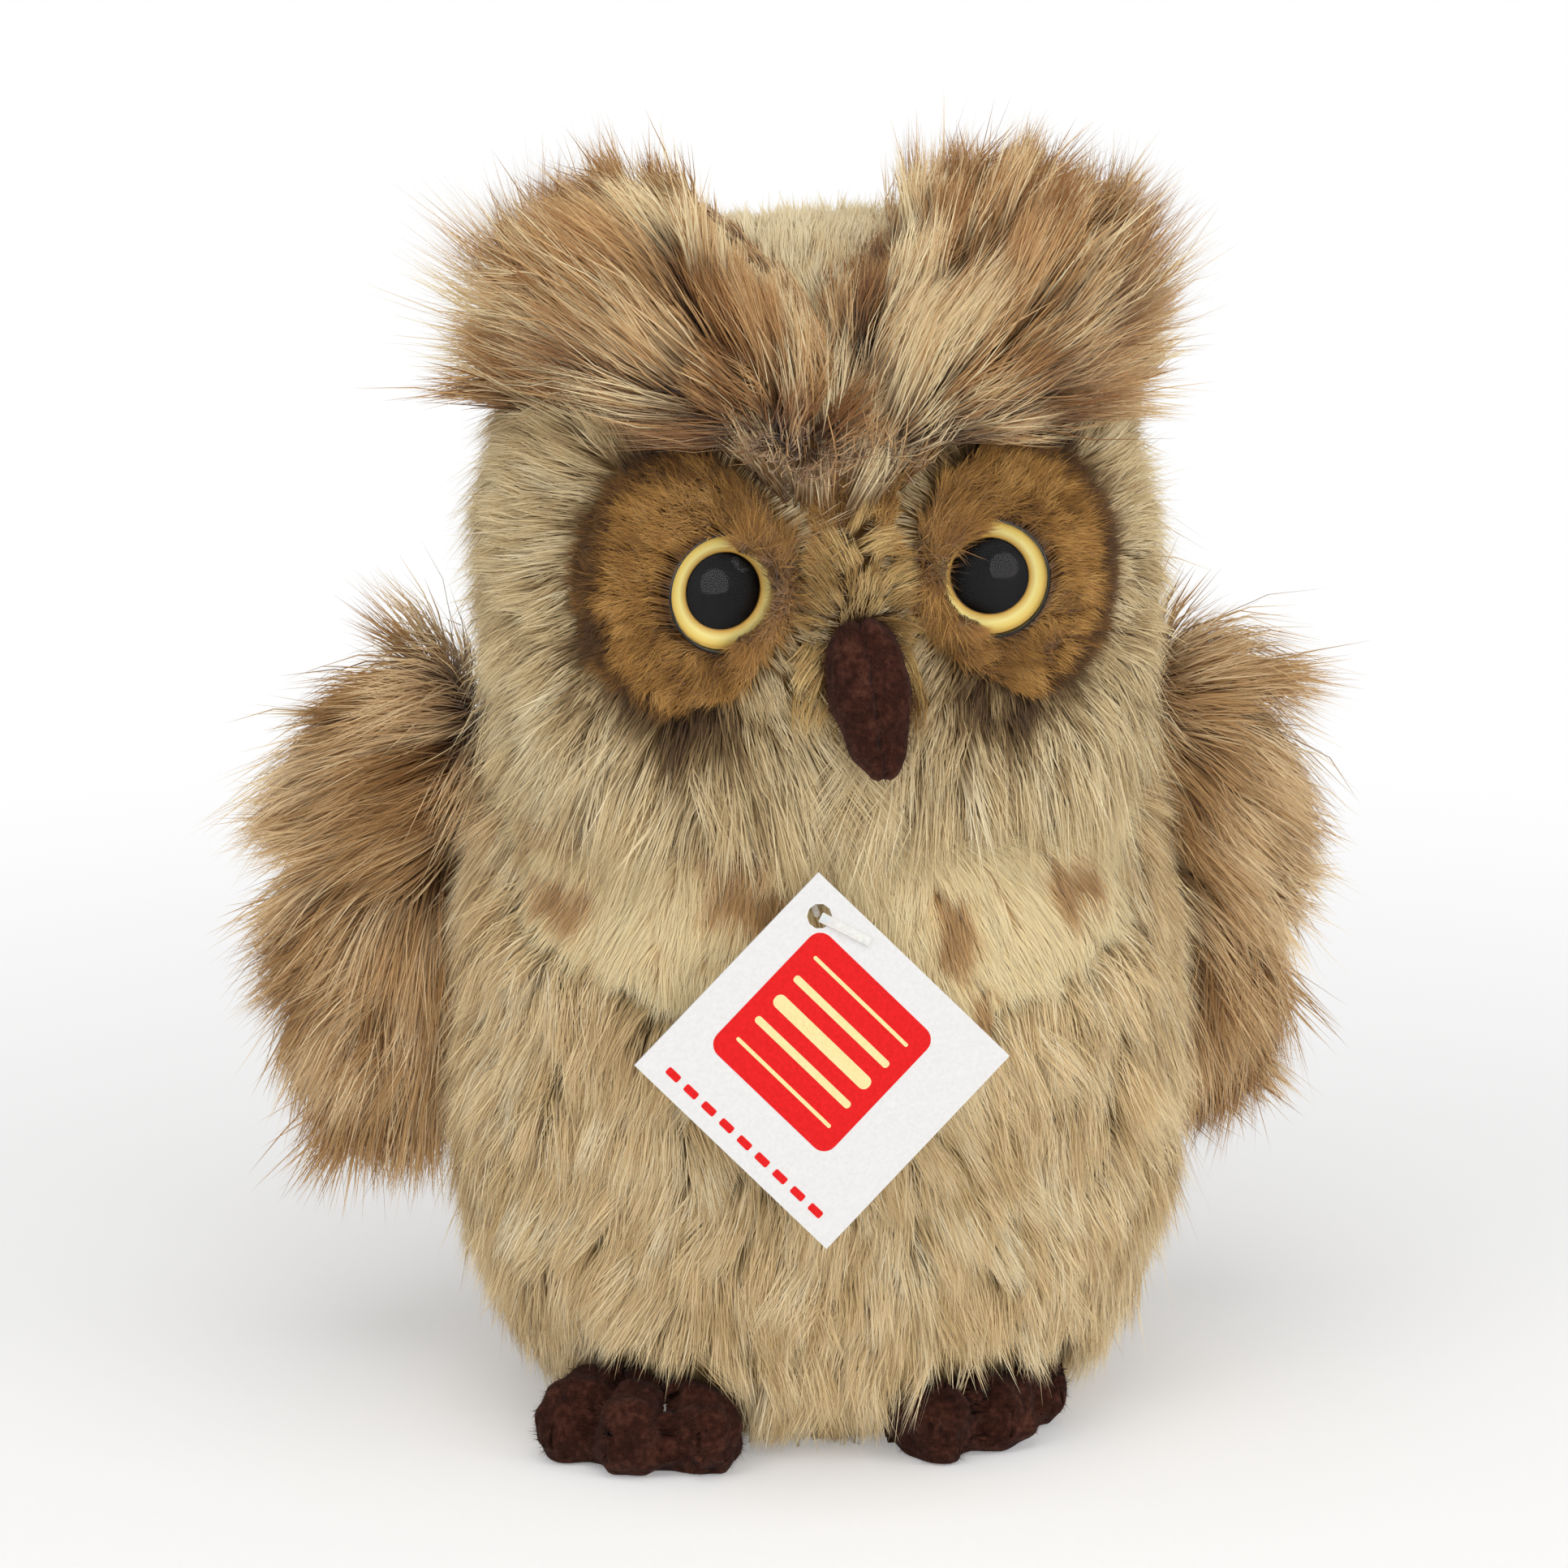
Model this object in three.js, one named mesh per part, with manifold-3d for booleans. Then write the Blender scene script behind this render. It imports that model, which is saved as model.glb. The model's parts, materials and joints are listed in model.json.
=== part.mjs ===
// A sitting plush owl, about 20 cm tall. Panels of pile fabric are sewn into a body, a head and two
// wings over loose fibre, with a bag of pellets in the base, locked plastic eyes, a felt beak, felt
// feet and a folded card tag on a plastic pin.
// Millimetres, +Z up. The owl faces -Y, so its own left is +X. The origin is the middle of its flat base.
// A pile fabric's solid is its backing and the body of its pile, out to where the pile looks closed.

import * as THREE from "three";
import { mergeVertices } from "three/addons/utils/BufferGeometryUtils.js";
import Module from "manifold-3d";

const wasm = await Module();
wasm.setup();

// Fits and cloths
const clearance = 0.3; // between two pieces that touch
const weld = 0.0001; // corners nearer than this are one
const overrun = 150; // how far a cut runs past what it cuts
const plush = 4.5; // backing and closed pile of the main fabric
const felt = 1.4;

// Body
const bodyHalfWidth = 58;
const bodyHalfDepth = 49;
const bodyWidestHeight = 57;
const bodyRise = 70; // from the widest level to the top, which the head covers
const bodyDrop = 63; // from the widest level to the bottom, which the pellets press flat
const bodyFullness = 2.7; // 2 is an ellipsoid, more is boxier
const sideSeamSetback = 6; // how far the side seams lie behind the middle
const soleHalfWidth = 33;
const soleHalfDepth = 27;
const bibHalfWidth = 46;
const bibTopHeight = 115;
const bibCornerHeight = 86;
const bibPointHeight = 66;

// Pellet bag in the base
const bagHalfWidth = 36;
const bagHalfDepth = 31;
const bagHalfHeight = 13;
const bagFullness = 2.6;

// Head
const headHalfWidth = 51.5;
const headHalfDepth = 46;
const headWidestHeight = 128;
const headRise = 61.5;
const headDrop = 40;
const headFullness = 2.4;
const headPlanFullness = 2.6; // the same, seen from above
const headTurn = 3; // degrees, towards the owl's left
const headTilt = 1.6; // degrees, towards the owl's right
const neckRadius = 22;
const gussetHalfWidth = 13;
const gussetFrontHeight = 167; // the crown gusset ends here on the forehead
const gussetNapeSetback = 18; // and runs down the nape behind this depth
const bridgeWaistHalfWidth = 5.5;
const bridgeWaistHeight = 147;
const bridgeFootHalfWidth = 17;
const bridgeFootHeight = 113;

// Facial discs, which are short-pile pads let into the head
const discHalfWidth = 17;
const discHalfHeight = 20.5;
const discHalfThickness = 10;
const discSpread = 23.5;
const discForward = 36.5;
const discHeight = 140.5;
const discTurnOut = 8; // degrees
const discFullness = 2.3;

// Eyes
const eyeSpread = 20.3;
const eyeForward = 44.6; // to the floor of the cup
const eyeHeight = 141.7;
const eyeTurnIn = 12; // degrees
const cupRadius = 9.2;
const cupWall = 0.6;
const cupRimHeight = 3;
const cupFloor = 1.6;
const shankRadius = 2.4;
const shankLength = 17;
const shankRidge = 0.4; // how far each ridge stands out
const shankRidgePitch = 2;
const shankPlainLength = 9.5; // from the cup to the first ridge
const irisThickness = 0.5;
const irisDish = 0.8; // how much higher the ring is at its rim
const pupilRadius = 5.9;
const pupilThickness = 1;
const pupilFlatShare = 0.7; // of its radius
const lensRimThickness = 0.7;
const lensDome = 2.2;
const washerRadius = 7.5;
const washerThickness = 1.4;
const washerTooth = 2.2; // length of the slits between the teeth
const washerSlit = 0.7;

// Beak
const beakHalfWidth = 6.4;
const beakHalfDepth = 5.6;
const beakLength = 24;
const beakRootForward = 45.5;
const beakRootHeight = 136;
const beakSlope = 30; // degrees from straight down
const beakLean = 5; // degrees that the tip points towards the owl's left, as it was sewn on
const beakHook = 3.4; // how far the tip bends back under
const beakFullness = 2.2;
const beakTipWidthShare = 0.65;
const beakTipDepthShare = 0.7;

// Brow tufts, from the middle of the brow out to the ear tips
const tuftRootSide = 1;
const tuftRootForward = 48;
const tuftRootHeight = 156.5;
const tuftTipSide = 46;
const tuftTipForward = 10;
const tuftTipHeight = 195;
const tuftHalfWidth = 24;
const tuftHalfThickness = 12;
const tuftRootShare = 0.36; // of the width and thickness at the tip
const tuftFullness = 2.5;
const tuftPad = 7; // how far the middle of the tuft stands off the line from root to tip
const tuftOutTurnShare = 0.5; // of the sideways direction that its face turns to

// Wings
const wingPlush = 4;
const wingPivotSide = 54.5;
const wingPivotSetback = 8;
const wingPivotHeight = 115;
const rightWingSweep = 29; // degrees that a wing is turned back
const leftWingSweep = 40; // degrees
const wingTopAbove = 6; // above the pivot
const wingHeight = 90;
const wingHalfSpan = 25;
const wingCentreOut = 17;
const wingHalfThickness = 12.5;
const wingFullness = 2.3;
const wingTopTaperShare = 0.4; // of its span, lost towards the top
const wingTopShift = 6; // how much nearer to the body the top is than the widest level

// Feet, as they are sewn on: one turned out more than the other
const rightFootSpread = 25;
const rightFootForward = 21; // to the ankle
const rightFootSplay = 21; // degrees
const leftFootSpread = 13;
const leftFootForward = 18;
const leftFootSplay = 41; // degrees
const toeFan = 33; // degrees between neighbouring toes
const middleToeLength = 26;
const middleToeHalfWidth = 8.8;
const sideToeLength = 26;
const sideToeHalfWidth = 6.8;
const toeRise = 13; // height of a toe above the floor
const toeSink = 2; // of its round underside, which its sole cuts off
const toeFullness = 2.4;

// Folded card tag on its pin
const cardSide = 40;
const cardThickness = 0.4;
const cardHoleFromCorner = 6.6;
const cardHoleRadius = 1.9;
const tagSide = -4.2;
const tagPivotHeight = 91.5;
const tagStandoff = 3.2; // from the chest to the pivot
const tagLean = 14; // degrees that the card leans back
const pinRadius = 0.5;
const pinReach = 2.4; // from the pivot to the back of the card
const pinHeadLength = 8;
const pinHeadHalfWidth = 1.1;
const pinHeadThickness = 1;
const pinHeadTurn = 28; // degrees below level
const anchorLength = 9;
const anchorDepth = 3; // behind the fabric
const partedPileMargin = 1.1; // clear of the card's corners as the tag swings up and opens

const rightAngle = Math.PI / 2;
const halfTurn = 180; // degrees
const sides = { left: 1, right: -1 };

// Steps round and along the forms
const largeSteps = [20, 12];
const middleSteps = [14, 9];
const smallSteps = [12, 8];
const toeSteps = [10, 7];
const eyeSteps = 20;
const lensSteps = 4;
const pinSteps = 8;
const seamSteps = 24;
const curveSteps = 5;
const washerTeeth = 6;

function finish(color, roughness, metalness = 0, opacity = 1) {
  return new THREE.MeshStandardMaterial({ color, roughness, metalness, opacity, transparent: opacity < 1 });
}

const materials = {
  bellyPlush: finish(0xbda67c, 0.95),
  bibPlush: finish(0xe3cfa4, 0.95),
  headPlush: finish(0xbfa680, 0.95),
  discPlush: finish(0x7d5c2e, 0.95),
  tuftPlush: finish(0xb08a63, 0.95),
  wingPlush: finish(0xae8d66, 0.95),
  brownFelt: finish(0x442520, 1),
  fibre: finish(0xf2f0ea, 1),
  pelletCloth: finish(0xe6e2d6, 0.9),
  blackPlastic: finish(0x0c0c10, 0.25),
  goldFoil: finish(0xe0b84e, 0.35, 0.8),
  clearPlastic: finish(0xf4f7fa, 0.05, 0, 0.35),
  whiteNylon: finish(0xe9e7e2, 0.4),
  card: finish(0xf3f1ee, 0.5),
};

// A closed geometry as a solid that can be joined and cut.
function solidOf(geometry) {
  const bare = geometry.clone();
  bare.deleteAttribute("normal");
  bare.deleteAttribute("uv");
  const merged = mergeVertices(bare, weld);
  const triVerts = [];
  for (let i = 0; i < merged.index.count; i += 3) {
    const [a, b, c] = [0, 1, 2].map((corner) => merged.index.getX(i + corner));
    if (a !== b && b !== c && c !== a) triVerts.push(a, b, c);
  }
  const vertProperties = merged.getAttribute("position").array;
  const mesh = new wasm.Mesh({ numProp: 3, vertProperties, triVerts: new Uint32Array(triVerts) });
  return new wasm.Manifold(mesh);
}

function geometryOf(solid) {
  const { vertProperties, triVerts } = solid.getMesh();
  const geometry = new THREE.BufferGeometry();
  geometry.setAttribute("position", new THREE.BufferAttribute(new Float32Array(vertProperties), 3));
  geometry.setIndex(new THREE.BufferAttribute(new Uint32Array(triVerts), 1));
  const faceted = geometry.toNonIndexed();
  faceted.computeVertexNormals();
  return faceted;
}

function addPiece(group, name, solid, material) {
  const mesh = new THREE.Mesh(geometryOf(solid), material);
  mesh.name = name;
  group.add(mesh);
}

// A box between two corners.
function block(low, high) {
  const size = high.map((value, axis) => value - low[axis]);
  const box = new THREE.BoxGeometry(...size);
  return solidOf(box.translate(...low.map((value, axis) => value + size[axis] / 2)));
}

// All that lies on one side of the middle, less half a seam.
function halfSpace(sign) {
  const [near, far] = [clearance / 2, overrun].map((x) => sign * x);
  return block([Math.min(near, far), -overrun, -overrun], [Math.max(near, far), overrun, 2 * overrun]);
}

// An outline in X and Z, carried from one depth to another.
function prism(shape, fromY, toY) {
  const depth = Math.abs(toY - fromY);
  const settings = { depth, bevelEnabled: false, curveSegments: curveSteps };
  const extruded = new THREE.ExtrudeGeometry(shape, settings);
  return solidOf(extruded.rotateX(rightAngle).translate(0, Math.max(fromY, toY), 0));
}

// An upright elliptic post, for the base panel and the neck.
function post(halfX, halfY, fromZ, toZ) {
  const cylinder = new THREE.CylinderGeometry(1, 1, toZ - fromZ, seamSteps).rotateX(rightAngle);
  return solidOf(cylinder.scale(halfX, halfY, 1).translate(0, 0, (fromZ + toZ) / 2));
}

// A stuffed form about the origin: a sphere drawn out to its half-sizes, boxier the fuller it is.
// The rise and the drop are its heights above and below its widest level.
function swollen(half, rise, drop, fullness, [around, levels], planFullness = 2) {
  const geometry = new THREE.SphereGeometry(1, around, levels).rotateX(rightAngle);
  const rounded = (value, full) => Math.sign(value) * Math.abs(value) ** (2 / full);
  return reshape(geometry, (p) => {
    const flat = Math.min(Math.hypot(p.x, p.y), 1);
    const reach = rounded(flat, fullness);
    const [planX, planY] = [p.x, p.y].map((value) => rounded(value / (flat || 1), planFullness));
    p.set(planX * reach * half.x, planY * reach * half.y, rounded(p.z, fullness) * (p.z > 0 ? rise : drop));
  });
}

// Moves each point of a geometry.
function reshape(geometry, move) {
  const place = geometry.getAttribute("position");
  const point = new THREE.Vector3();
  for (let i = 0; i < place.count; i += 1) {
    move(point.fromBufferAttribute(place, i));
    place.setXYZ(i, point.x, point.y, point.z);
  }
  return geometry;
}

function turned(degrees, axis = new THREE.Vector3(0, 0, 1)) {
  return new THREE.Matrix4().makeRotationAxis(axis, THREE.MathUtils.degToRad(degrees));
}

function movedTo(x, y, z) {
  return new THREE.Matrix4().makeTranslation(x, y, z);
}

// A frame on the face whose +Z looks out along -Y, turned about the vertical.
function facing(x, y, z, turn) {
  return movedTo(x, y, z).multiply(turned(turn)).multiply(new THREE.Matrix4().makeRotationX(rightAngle));
}

// The large forms. Each takes how far it is taken in from its outside; less than 0 is grown.

function bodyForm(inset) {
  const half = { x: bodyHalfWidth - inset, y: bodyHalfDepth - inset };
  const form = swollen(half, bodyRise - inset, bodyDrop - inset, bodyFullness, largeSteps);
  const floor = block([-overrun, -overrun, -overrun], [overrun, overrun, inset]);
  return solidOf(form.translate(0, 0, bodyWidestHeight)).subtract(floor);
}

// In the head's own frame.
function headForm(inset) {
  const half = { x: headHalfWidth - inset, y: headHalfDepth - inset };
  const [rise, drop] = [headRise - inset, headDrop - inset];
  const form = swollen(half, rise, drop, headFullness, largeSteps, headPlanFullness);
  return solidOf(form.translate(0, 0, headWidestHeight));
}

// How the head is sewn on, about the middle of its widest level.
function headPose() {
  const tilt = turned(-headTilt, new THREE.Vector3(0, 1, 0));
  const middle = movedTo(0, 0, headWidestHeight);
  return middle.multiply(turned(headTurn)).multiply(tilt).multiply(movedTo(0, 0, -headWidestHeight));
}

function headOnBody(inset) {
  return solidOf(geometryOf(headForm(inset)).applyMatrix4(headPose()));
}

const owl = new THREE.Group();

// Body

function bibOutline(inset) {
  const shape = new THREE.Shape();
  const halfWidth = bibHalfWidth - inset;
  const [corner, point] = [bibCornerHeight, bibPointHeight].map((height) => height + inset);
  shape.moveTo(-halfWidth, bibTopHeight);
  shape.lineTo(-halfWidth, corner);
  shape.quadraticCurveTo(-halfWidth / 2, (corner + point) / 2, 0, point);
  shape.quadraticCurveTo(halfWidth / 2, (corner + point) / 2, halfWidth, corner);
  shape.lineTo(halfWidth, bibTopHeight);
  return shape;
}

// The chest's front at a height, from the body's own outline.
function chestForward(height) {
  const share = (height - bodyWidestHeight) / bodyRise;
  return bodyHalfDepth * (1 - share ** bodyFullness) ** (1 / bodyFullness);
}

const tagPivot = new THREE.Vector3(tagSide, -chestForward(tagPivotHeight) - tagStandoff, tagPivotHeight);

// The pile that the corners of both leaves part as the tag swings up and its cover opens.
function partedPile() {
  const frontLeafReach = pinReach + 2 * cardThickness + clearance;
  const radius = Math.hypot(cardHoleFromCorner, frontLeafReach) + partedPileMargin;
  const roll = new THREE.CylinderGeometry(radius, radius, 2 * radius, eyeSteps);
  return solidOf(roll.rotateZ(rightAngle).translate(tagPivot.x, tagPivot.y, tagPivot.z));
}

// The pin's bar behind the fabric, with its thread out to just short of the pivot.
function tagAnchor(grown) {
  const inside = tagPivot.y + tagStandoff + plush + anchorDepth;
  const barRadius = 2 * pinRadius + grown;
  const bar = new THREE.CylinderGeometry(barRadius, barRadius, anchorLength + 2 * grown, pinSteps);
  const start = tagPivot.y + pinRadius + clearance - grown;
  const thread = new THREE.CylinderGeometry(pinRadius + grown, pinRadius + grown, inside - start, pinSteps);
  const crossbar = solidOf(bar.rotateZ(rightAngle).translate(tagPivot.x, inside, tagPivot.z));
  return crossbar.add(solidOf(thread.translate(tagPivot.x, (start + inside) / 2, tagPivot.z)));
}

function pelletBag(grown) {
  const half = { x: bagHalfWidth + grown, y: bagHalfDepth + grown };
  const rise = bagHalfHeight + grown;
  const bag = swollen(half, rise, rise, bagFullness, middleSteps);
  const seat = bodyForm(plush + clearance - grown);
  return solidOf(bag.translate(0, 0, plush + clearance + bagHalfHeight)).intersect(seat);
}

function buildBody() {
  const headSeat = headOnBody(-clearance);
  const shell = bodyForm(0).subtract(bodyForm(plush)).subtract(headSeat).subtract(tagAnchor(clearance));
  const soleTop = bodyWidestHeight / 2;
  const sole = (grown) => post(soleHalfWidth + grown, soleHalfDepth + grown, -overrun, soleTop);
  const behind = (setback) => block([-overrun, setback, -overrun], [overrun, overrun, overrun]);
  const walls = shell.subtract(sole(clearance));
  const front = walls.subtract(behind(sideSeamSetback - clearance));
  const rear = walls.intersect(behind(sideSeamSetback));
  const bib = front.intersect(prism(bibOutline(0), 0, -overrun)).subtract(partedPile());
  addPiece(owl, "chest_bib_panel", bib, materials.bibPlush);
  const belly = front.subtract(prism(bibOutline(-clearance), 0, -overrun));
  addPiece(owl, "belly_front_panel", belly, materials.bellyPlush);
  for (const [side, sign] of Object.entries(sides)) {
    addPiece(owl, `${side}_back_panel`, rear.intersect(halfSpace(sign)), materials.bellyPlush);
  }
  addPiece(owl, "base_panel", shell.intersect(sole(0)), materials.bellyPlush);
  addPiece(owl, "pellet_bag", pelletBag(0), materials.pelletCloth);
  const filling = bodyForm(plush + clearance).subtract(headSeat).subtract(pelletBag(clearance));
  addPiece(owl, "body_filling", filling.subtract(tagAnchor(clearance)), materials.fibre);
  addPiece(owl, "tag_pin_anchor", tagAnchor(0), materials.whiteNylon);
}

// Eyes and facial discs. An eye's frame has its +Z out of the face, from the floor of the cup.

function eyeFrame(sign) {
  return facing(sign * eyeSpread, -eyeForward, eyeHeight, -sign * eyeTurnIn);
}

function disc(sign, grown) {
  const half = { x: discHalfWidth + grown, y: discHalfHeight + grown };
  const rise = discHalfThickness + grown;
  const pad = swollen(half, rise, rise, discFullness, middleSteps);
  return solidOf(pad.applyMatrix4(facing(sign * discSpread, -discForward, discHeight, sign * discTurnOut)));
}

// A round piece about an eye's axis, from its profile of radius and height.
function eyeLathe(sign, profile) {
  const points = profile.map(([radius, height]) => new THREE.Vector2(radius, height));
  const lathe = new THREE.LatheGeometry(points, eyeSteps).rotateX(rightAngle);
  return solidOf(lathe.applyMatrix4(eyeFrame(sign)));
}

// The ridges on the shank, from its end up, that the washer's teeth catch on.
function shankRidges() {
  const ridges = [];
  const count = Math.floor((shankLength - shankPlainLength) / shankRidgePitch);
  for (let i = count; i > 0; i -= 1) {
    const height = -cupFloor - shankPlainLength - i * shankRidgePitch;
    ridges.push([shankRadius, height], [shankRadius + shankRidge, height + shankRidgePitch]);
  }
  return ridges;
}

function eyeCup(sign) {
  return eyeLathe(sign, [
    [0, -cupFloor - shankLength],
    [shankRadius - shankRidge, -cupFloor - shankLength],
    ...shankRidges(),
    [shankRadius, -cupFloor - shankPlainLength],
    [shankRadius, -cupFloor],
    [cupRadius, -cupFloor],
    [cupRadius, cupRimHeight],
    [cupRadius - cupWall, cupRimHeight],
    [cupRadius - cupWall, 0],
    [0, 0],
  ]);
}

// What the disc, the head and its filling leave free for an eye.
function eyeRoom(sign) {
  const bore = shankRadius + shankRidge + clearance;
  return eyeLathe(sign, [
    [0, -cupFloor - shankLength - clearance],
    [bore, -cupFloor - shankLength - clearance],
    [bore, -cupFloor - clearance],
    [cupRadius + clearance, -cupFloor - clearance],
    [cupRadius + clearance, overrun],
    [0, overrun],
  ]);
}

const irisOuter = cupRadius - cupWall - clearance;
const lensBase = 2 * clearance + Math.max(irisThickness + irisDish, pupilThickness);

function irisRing(sign) {
  const irisInner = pupilRadius + clearance;
  return eyeLathe(sign, [
    [irisInner, clearance],
    [irisOuter, clearance],
    [irisOuter, clearance + irisThickness + irisDish],
    [irisInner, clearance + irisThickness],
    [irisInner, clearance],
  ]);
}

function pupil(sign) {
  return eyeLathe(sign, [
    [0, clearance],
    [pupilRadius, clearance],
    [pupilRadius, clearance + pupilThickness / 2],
    [pupilRadius * pupilFlatShare, clearance + pupilThickness],
    [0, clearance + pupilThickness],
  ]);
}

function lens(sign) {
  const dome = [];
  for (let i = 0; i < lensSteps; i += 1) {
    const angle = (i / lensSteps) * rightAngle;
    dome.push([irisOuter * Math.cos(angle), lensBase + lensRimThickness + lensDome * Math.sin(angle)]);
  }
  return eyeLathe(sign, [[0, lensBase], [irisOuter, lensBase], ...dome,
    [0, lensBase + lensRimThickness + lensDome]]);
}

const washerTop = -cupFloor - shankPlainLength - shankRidgePitch;

// The washer that locks the shank from inside, with spring teeth round its hole.
function lockWasher(sign) {
  const bore = shankRadius + shankRidge + clearance;
  const outline = new THREE.Shape().absarc(0, 0, washerRadius, 0, 2 * Math.PI);
  outline.holes.push(new THREE.Path().absarc(0, 0, bore, 0, 2 * Math.PI, true));
  const settings = { depth: washerThickness, bevelEnabled: false, curveSegments: eyeSteps / 2 };
  const plate = new THREE.ExtrudeGeometry(outline, settings).translate(0, 0, washerTop - washerThickness);
  let washer = solidOf(plate);
  for (let i = 0; i < washerTeeth; i += 1) {
    const reach = bore + washerTooth;
    const slit = new THREE.BoxGeometry(reach, washerSlit, 3 * washerThickness);
    slit.translate(reach / 2, 0, washerTop).rotateZ((i * 2 * Math.PI) / washerTeeth);
    washer = washer.subtract(solidOf(slit));
  }
  return solidOf(geometryOf(washer).applyMatrix4(eyeFrame(sign)));
}

// The space in the filling for the washer, over the end of the shank.
function washerRoom(sign) {
  const [top, bottom] = [washerTop + clearance, -cupFloor - shankLength - clearance];
  const radius = washerRadius + clearance;
  return eyeLathe(sign, [[0, bottom], [radius, bottom], [radius, top], [0, top]]);
}

// Head

function bridgeOutline(grown) {
  const shape = new THREE.Shape();
  const top = gussetFrontHeight - clearance + grown;
  const bottom = headWidestHeight - headDrop - plush;
  const crown = gussetHalfWidth + grown;
  const waist = bridgeWaistHalfWidth + grown;
  const foot = bridgeFootHalfWidth + grown;
  const [upper, lower] = [top, bridgeFootHeight].map((z) => (z + bridgeWaistHeight) / 2);
  shape.moveTo(-crown, top);
  shape.quadraticCurveTo(-waist, upper, -waist, bridgeWaistHeight);
  shape.quadraticCurveTo(-waist, lower, -foot, bridgeFootHeight);
  shape.lineTo(-foot, bottom);
  shape.lineTo(foot, bottom);
  shape.lineTo(foot, bridgeFootHeight);
  shape.quadraticCurveTo(waist, lower, waist, bridgeWaistHeight);
  shape.quadraticCurveTo(waist, upper, crown, top);
  return shape;
}

// The strip over the crown and down the nape.
function gussetStrip(grown) {
  const halfWidth = gussetHalfWidth + grown;
  const top = headWidestHeight + headRise + overrun;
  const crown = block([-halfWidth, -overrun, gussetFrontHeight - grown], [halfWidth, overrun, top]);
  return crown.add(block([-halfWidth, gussetNapeSetback - grown, -overrun], [halfWidth, overrun, top]));
}

// The beak's frame hangs from its root in the head's own frame.
function beakFrame() {
  const lean = turned(-beakLean, new THREE.Vector3(0, 1, 0));
  const slope = turned(-beakSlope, new THREE.Vector3(1, 0, 0));
  return movedTo(0, -beakRootForward, beakRootHeight).multiply(lean).multiply(slope);
}

function beakForm(inset) {
  const half = { x: beakHalfWidth - inset, y: beakHalfDepth - inset };
  const reach = beakLength / 2 - inset;
  const form = reshape(swollen(half, reach, reach, beakFullness, smallSteps), (p) => {
    const down = (0.5 - p.z / beakLength) ** 2;
    p.x *= 1 - (1 - beakTipWidthShare) * down;
    p.y *= 1 - (1 - beakTipDepthShare) * down;
    p.y += beakHook * down;
  });
  return solidOf(form.applyMatrix4(beakFrame().multiply(movedTo(0, 0, -beakLength / 2))));
}

// One side of the beak, cut along the beak's own middle.
function beakFelt(sign) {
  const half = solidOf(geometryOf(halfSpace(sign)).applyMatrix4(beakFrame()));
  return beakForm(0).subtract(beakForm(felt)).intersect(half);
}

// A lock of long pile that widens from the brow to the ear tip and lies round the head.
function browTuft(sign) {
  const root = new THREE.Vector3(sign * tuftRootSide, -tuftRootForward, tuftRootHeight);
  const tip = new THREE.Vector3(sign * tuftTipSide, -tuftTipForward, tuftTipHeight);
  const middle = root.clone().lerp(tip, 0.5);
  const length = root.distanceTo(tip);
  const along = tip.clone().sub(root).normalize();
  const out = new THREE.Vector3(middle.x * tuftOutTurnShare, middle.y, middle.z - headWidestHeight);
  const across = along.clone().cross(out).normalize();
  out.crossVectors(across, along);
  const half = { x: tuftHalfThickness, y: tuftHalfWidth };
  const form = reshape(swollen(half, length / 2, length / 2, tuftFullness, middleSteps), (p) => {
    const share = tuftRootShare + (1 - tuftRootShare) * Math.sin(rightAngle * (0.5 + p.z / length));
    p.x = p.x * share + tuftPad * (1 - (2 * p.z / length) ** 2);
    p.y *= share;
  });
  const frame = new THREE.Matrix4().makeBasis(out, across, along).setPosition(middle);
  return solidOf(form.applyMatrix4(frame));
}

// The panels of one side of the head with its disc and eye.
function buildFace(head, side, sign, cheeks) {
  const half = halfSpace(sign);
  addPiece(head, `head_${side}_panel`, cheeks.intersect(half), materials.headPlush);
  const pad = disc(sign, 0).subtract(eyeRoom(sign)).subtract(headForm(plush));
  addPiece(head, `${side}_eye_disc`, pad.subtract(beakForm(-clearance)), materials.discPlush);
  const tuft = browTuft(sign).subtract(headForm(-clearance)).subtract(disc(sign, clearance));
  addPiece(head, `${side}_brow_tuft`, tuft.intersect(half), materials.tuftPlush);
  addPiece(head, `${side}_eye_cup`, eyeCup(sign), materials.blackPlastic);
  addPiece(head, `${side}_eye_iris`, irisRing(sign), materials.goldFoil);
  addPiece(head, `${side}_eye_pupil`, pupil(sign), materials.blackPlastic);
  addPiece(head, `${side}_eye_lens`, lens(sign), materials.clearPlastic);
  addPiece(head, `${side}_eye_lock_washer`, lockWasher(sign), materials.whiteNylon);
  addPiece(head, `beak_${side}_felt`, beakFelt(sign), materials.brownFelt);
}

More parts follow.
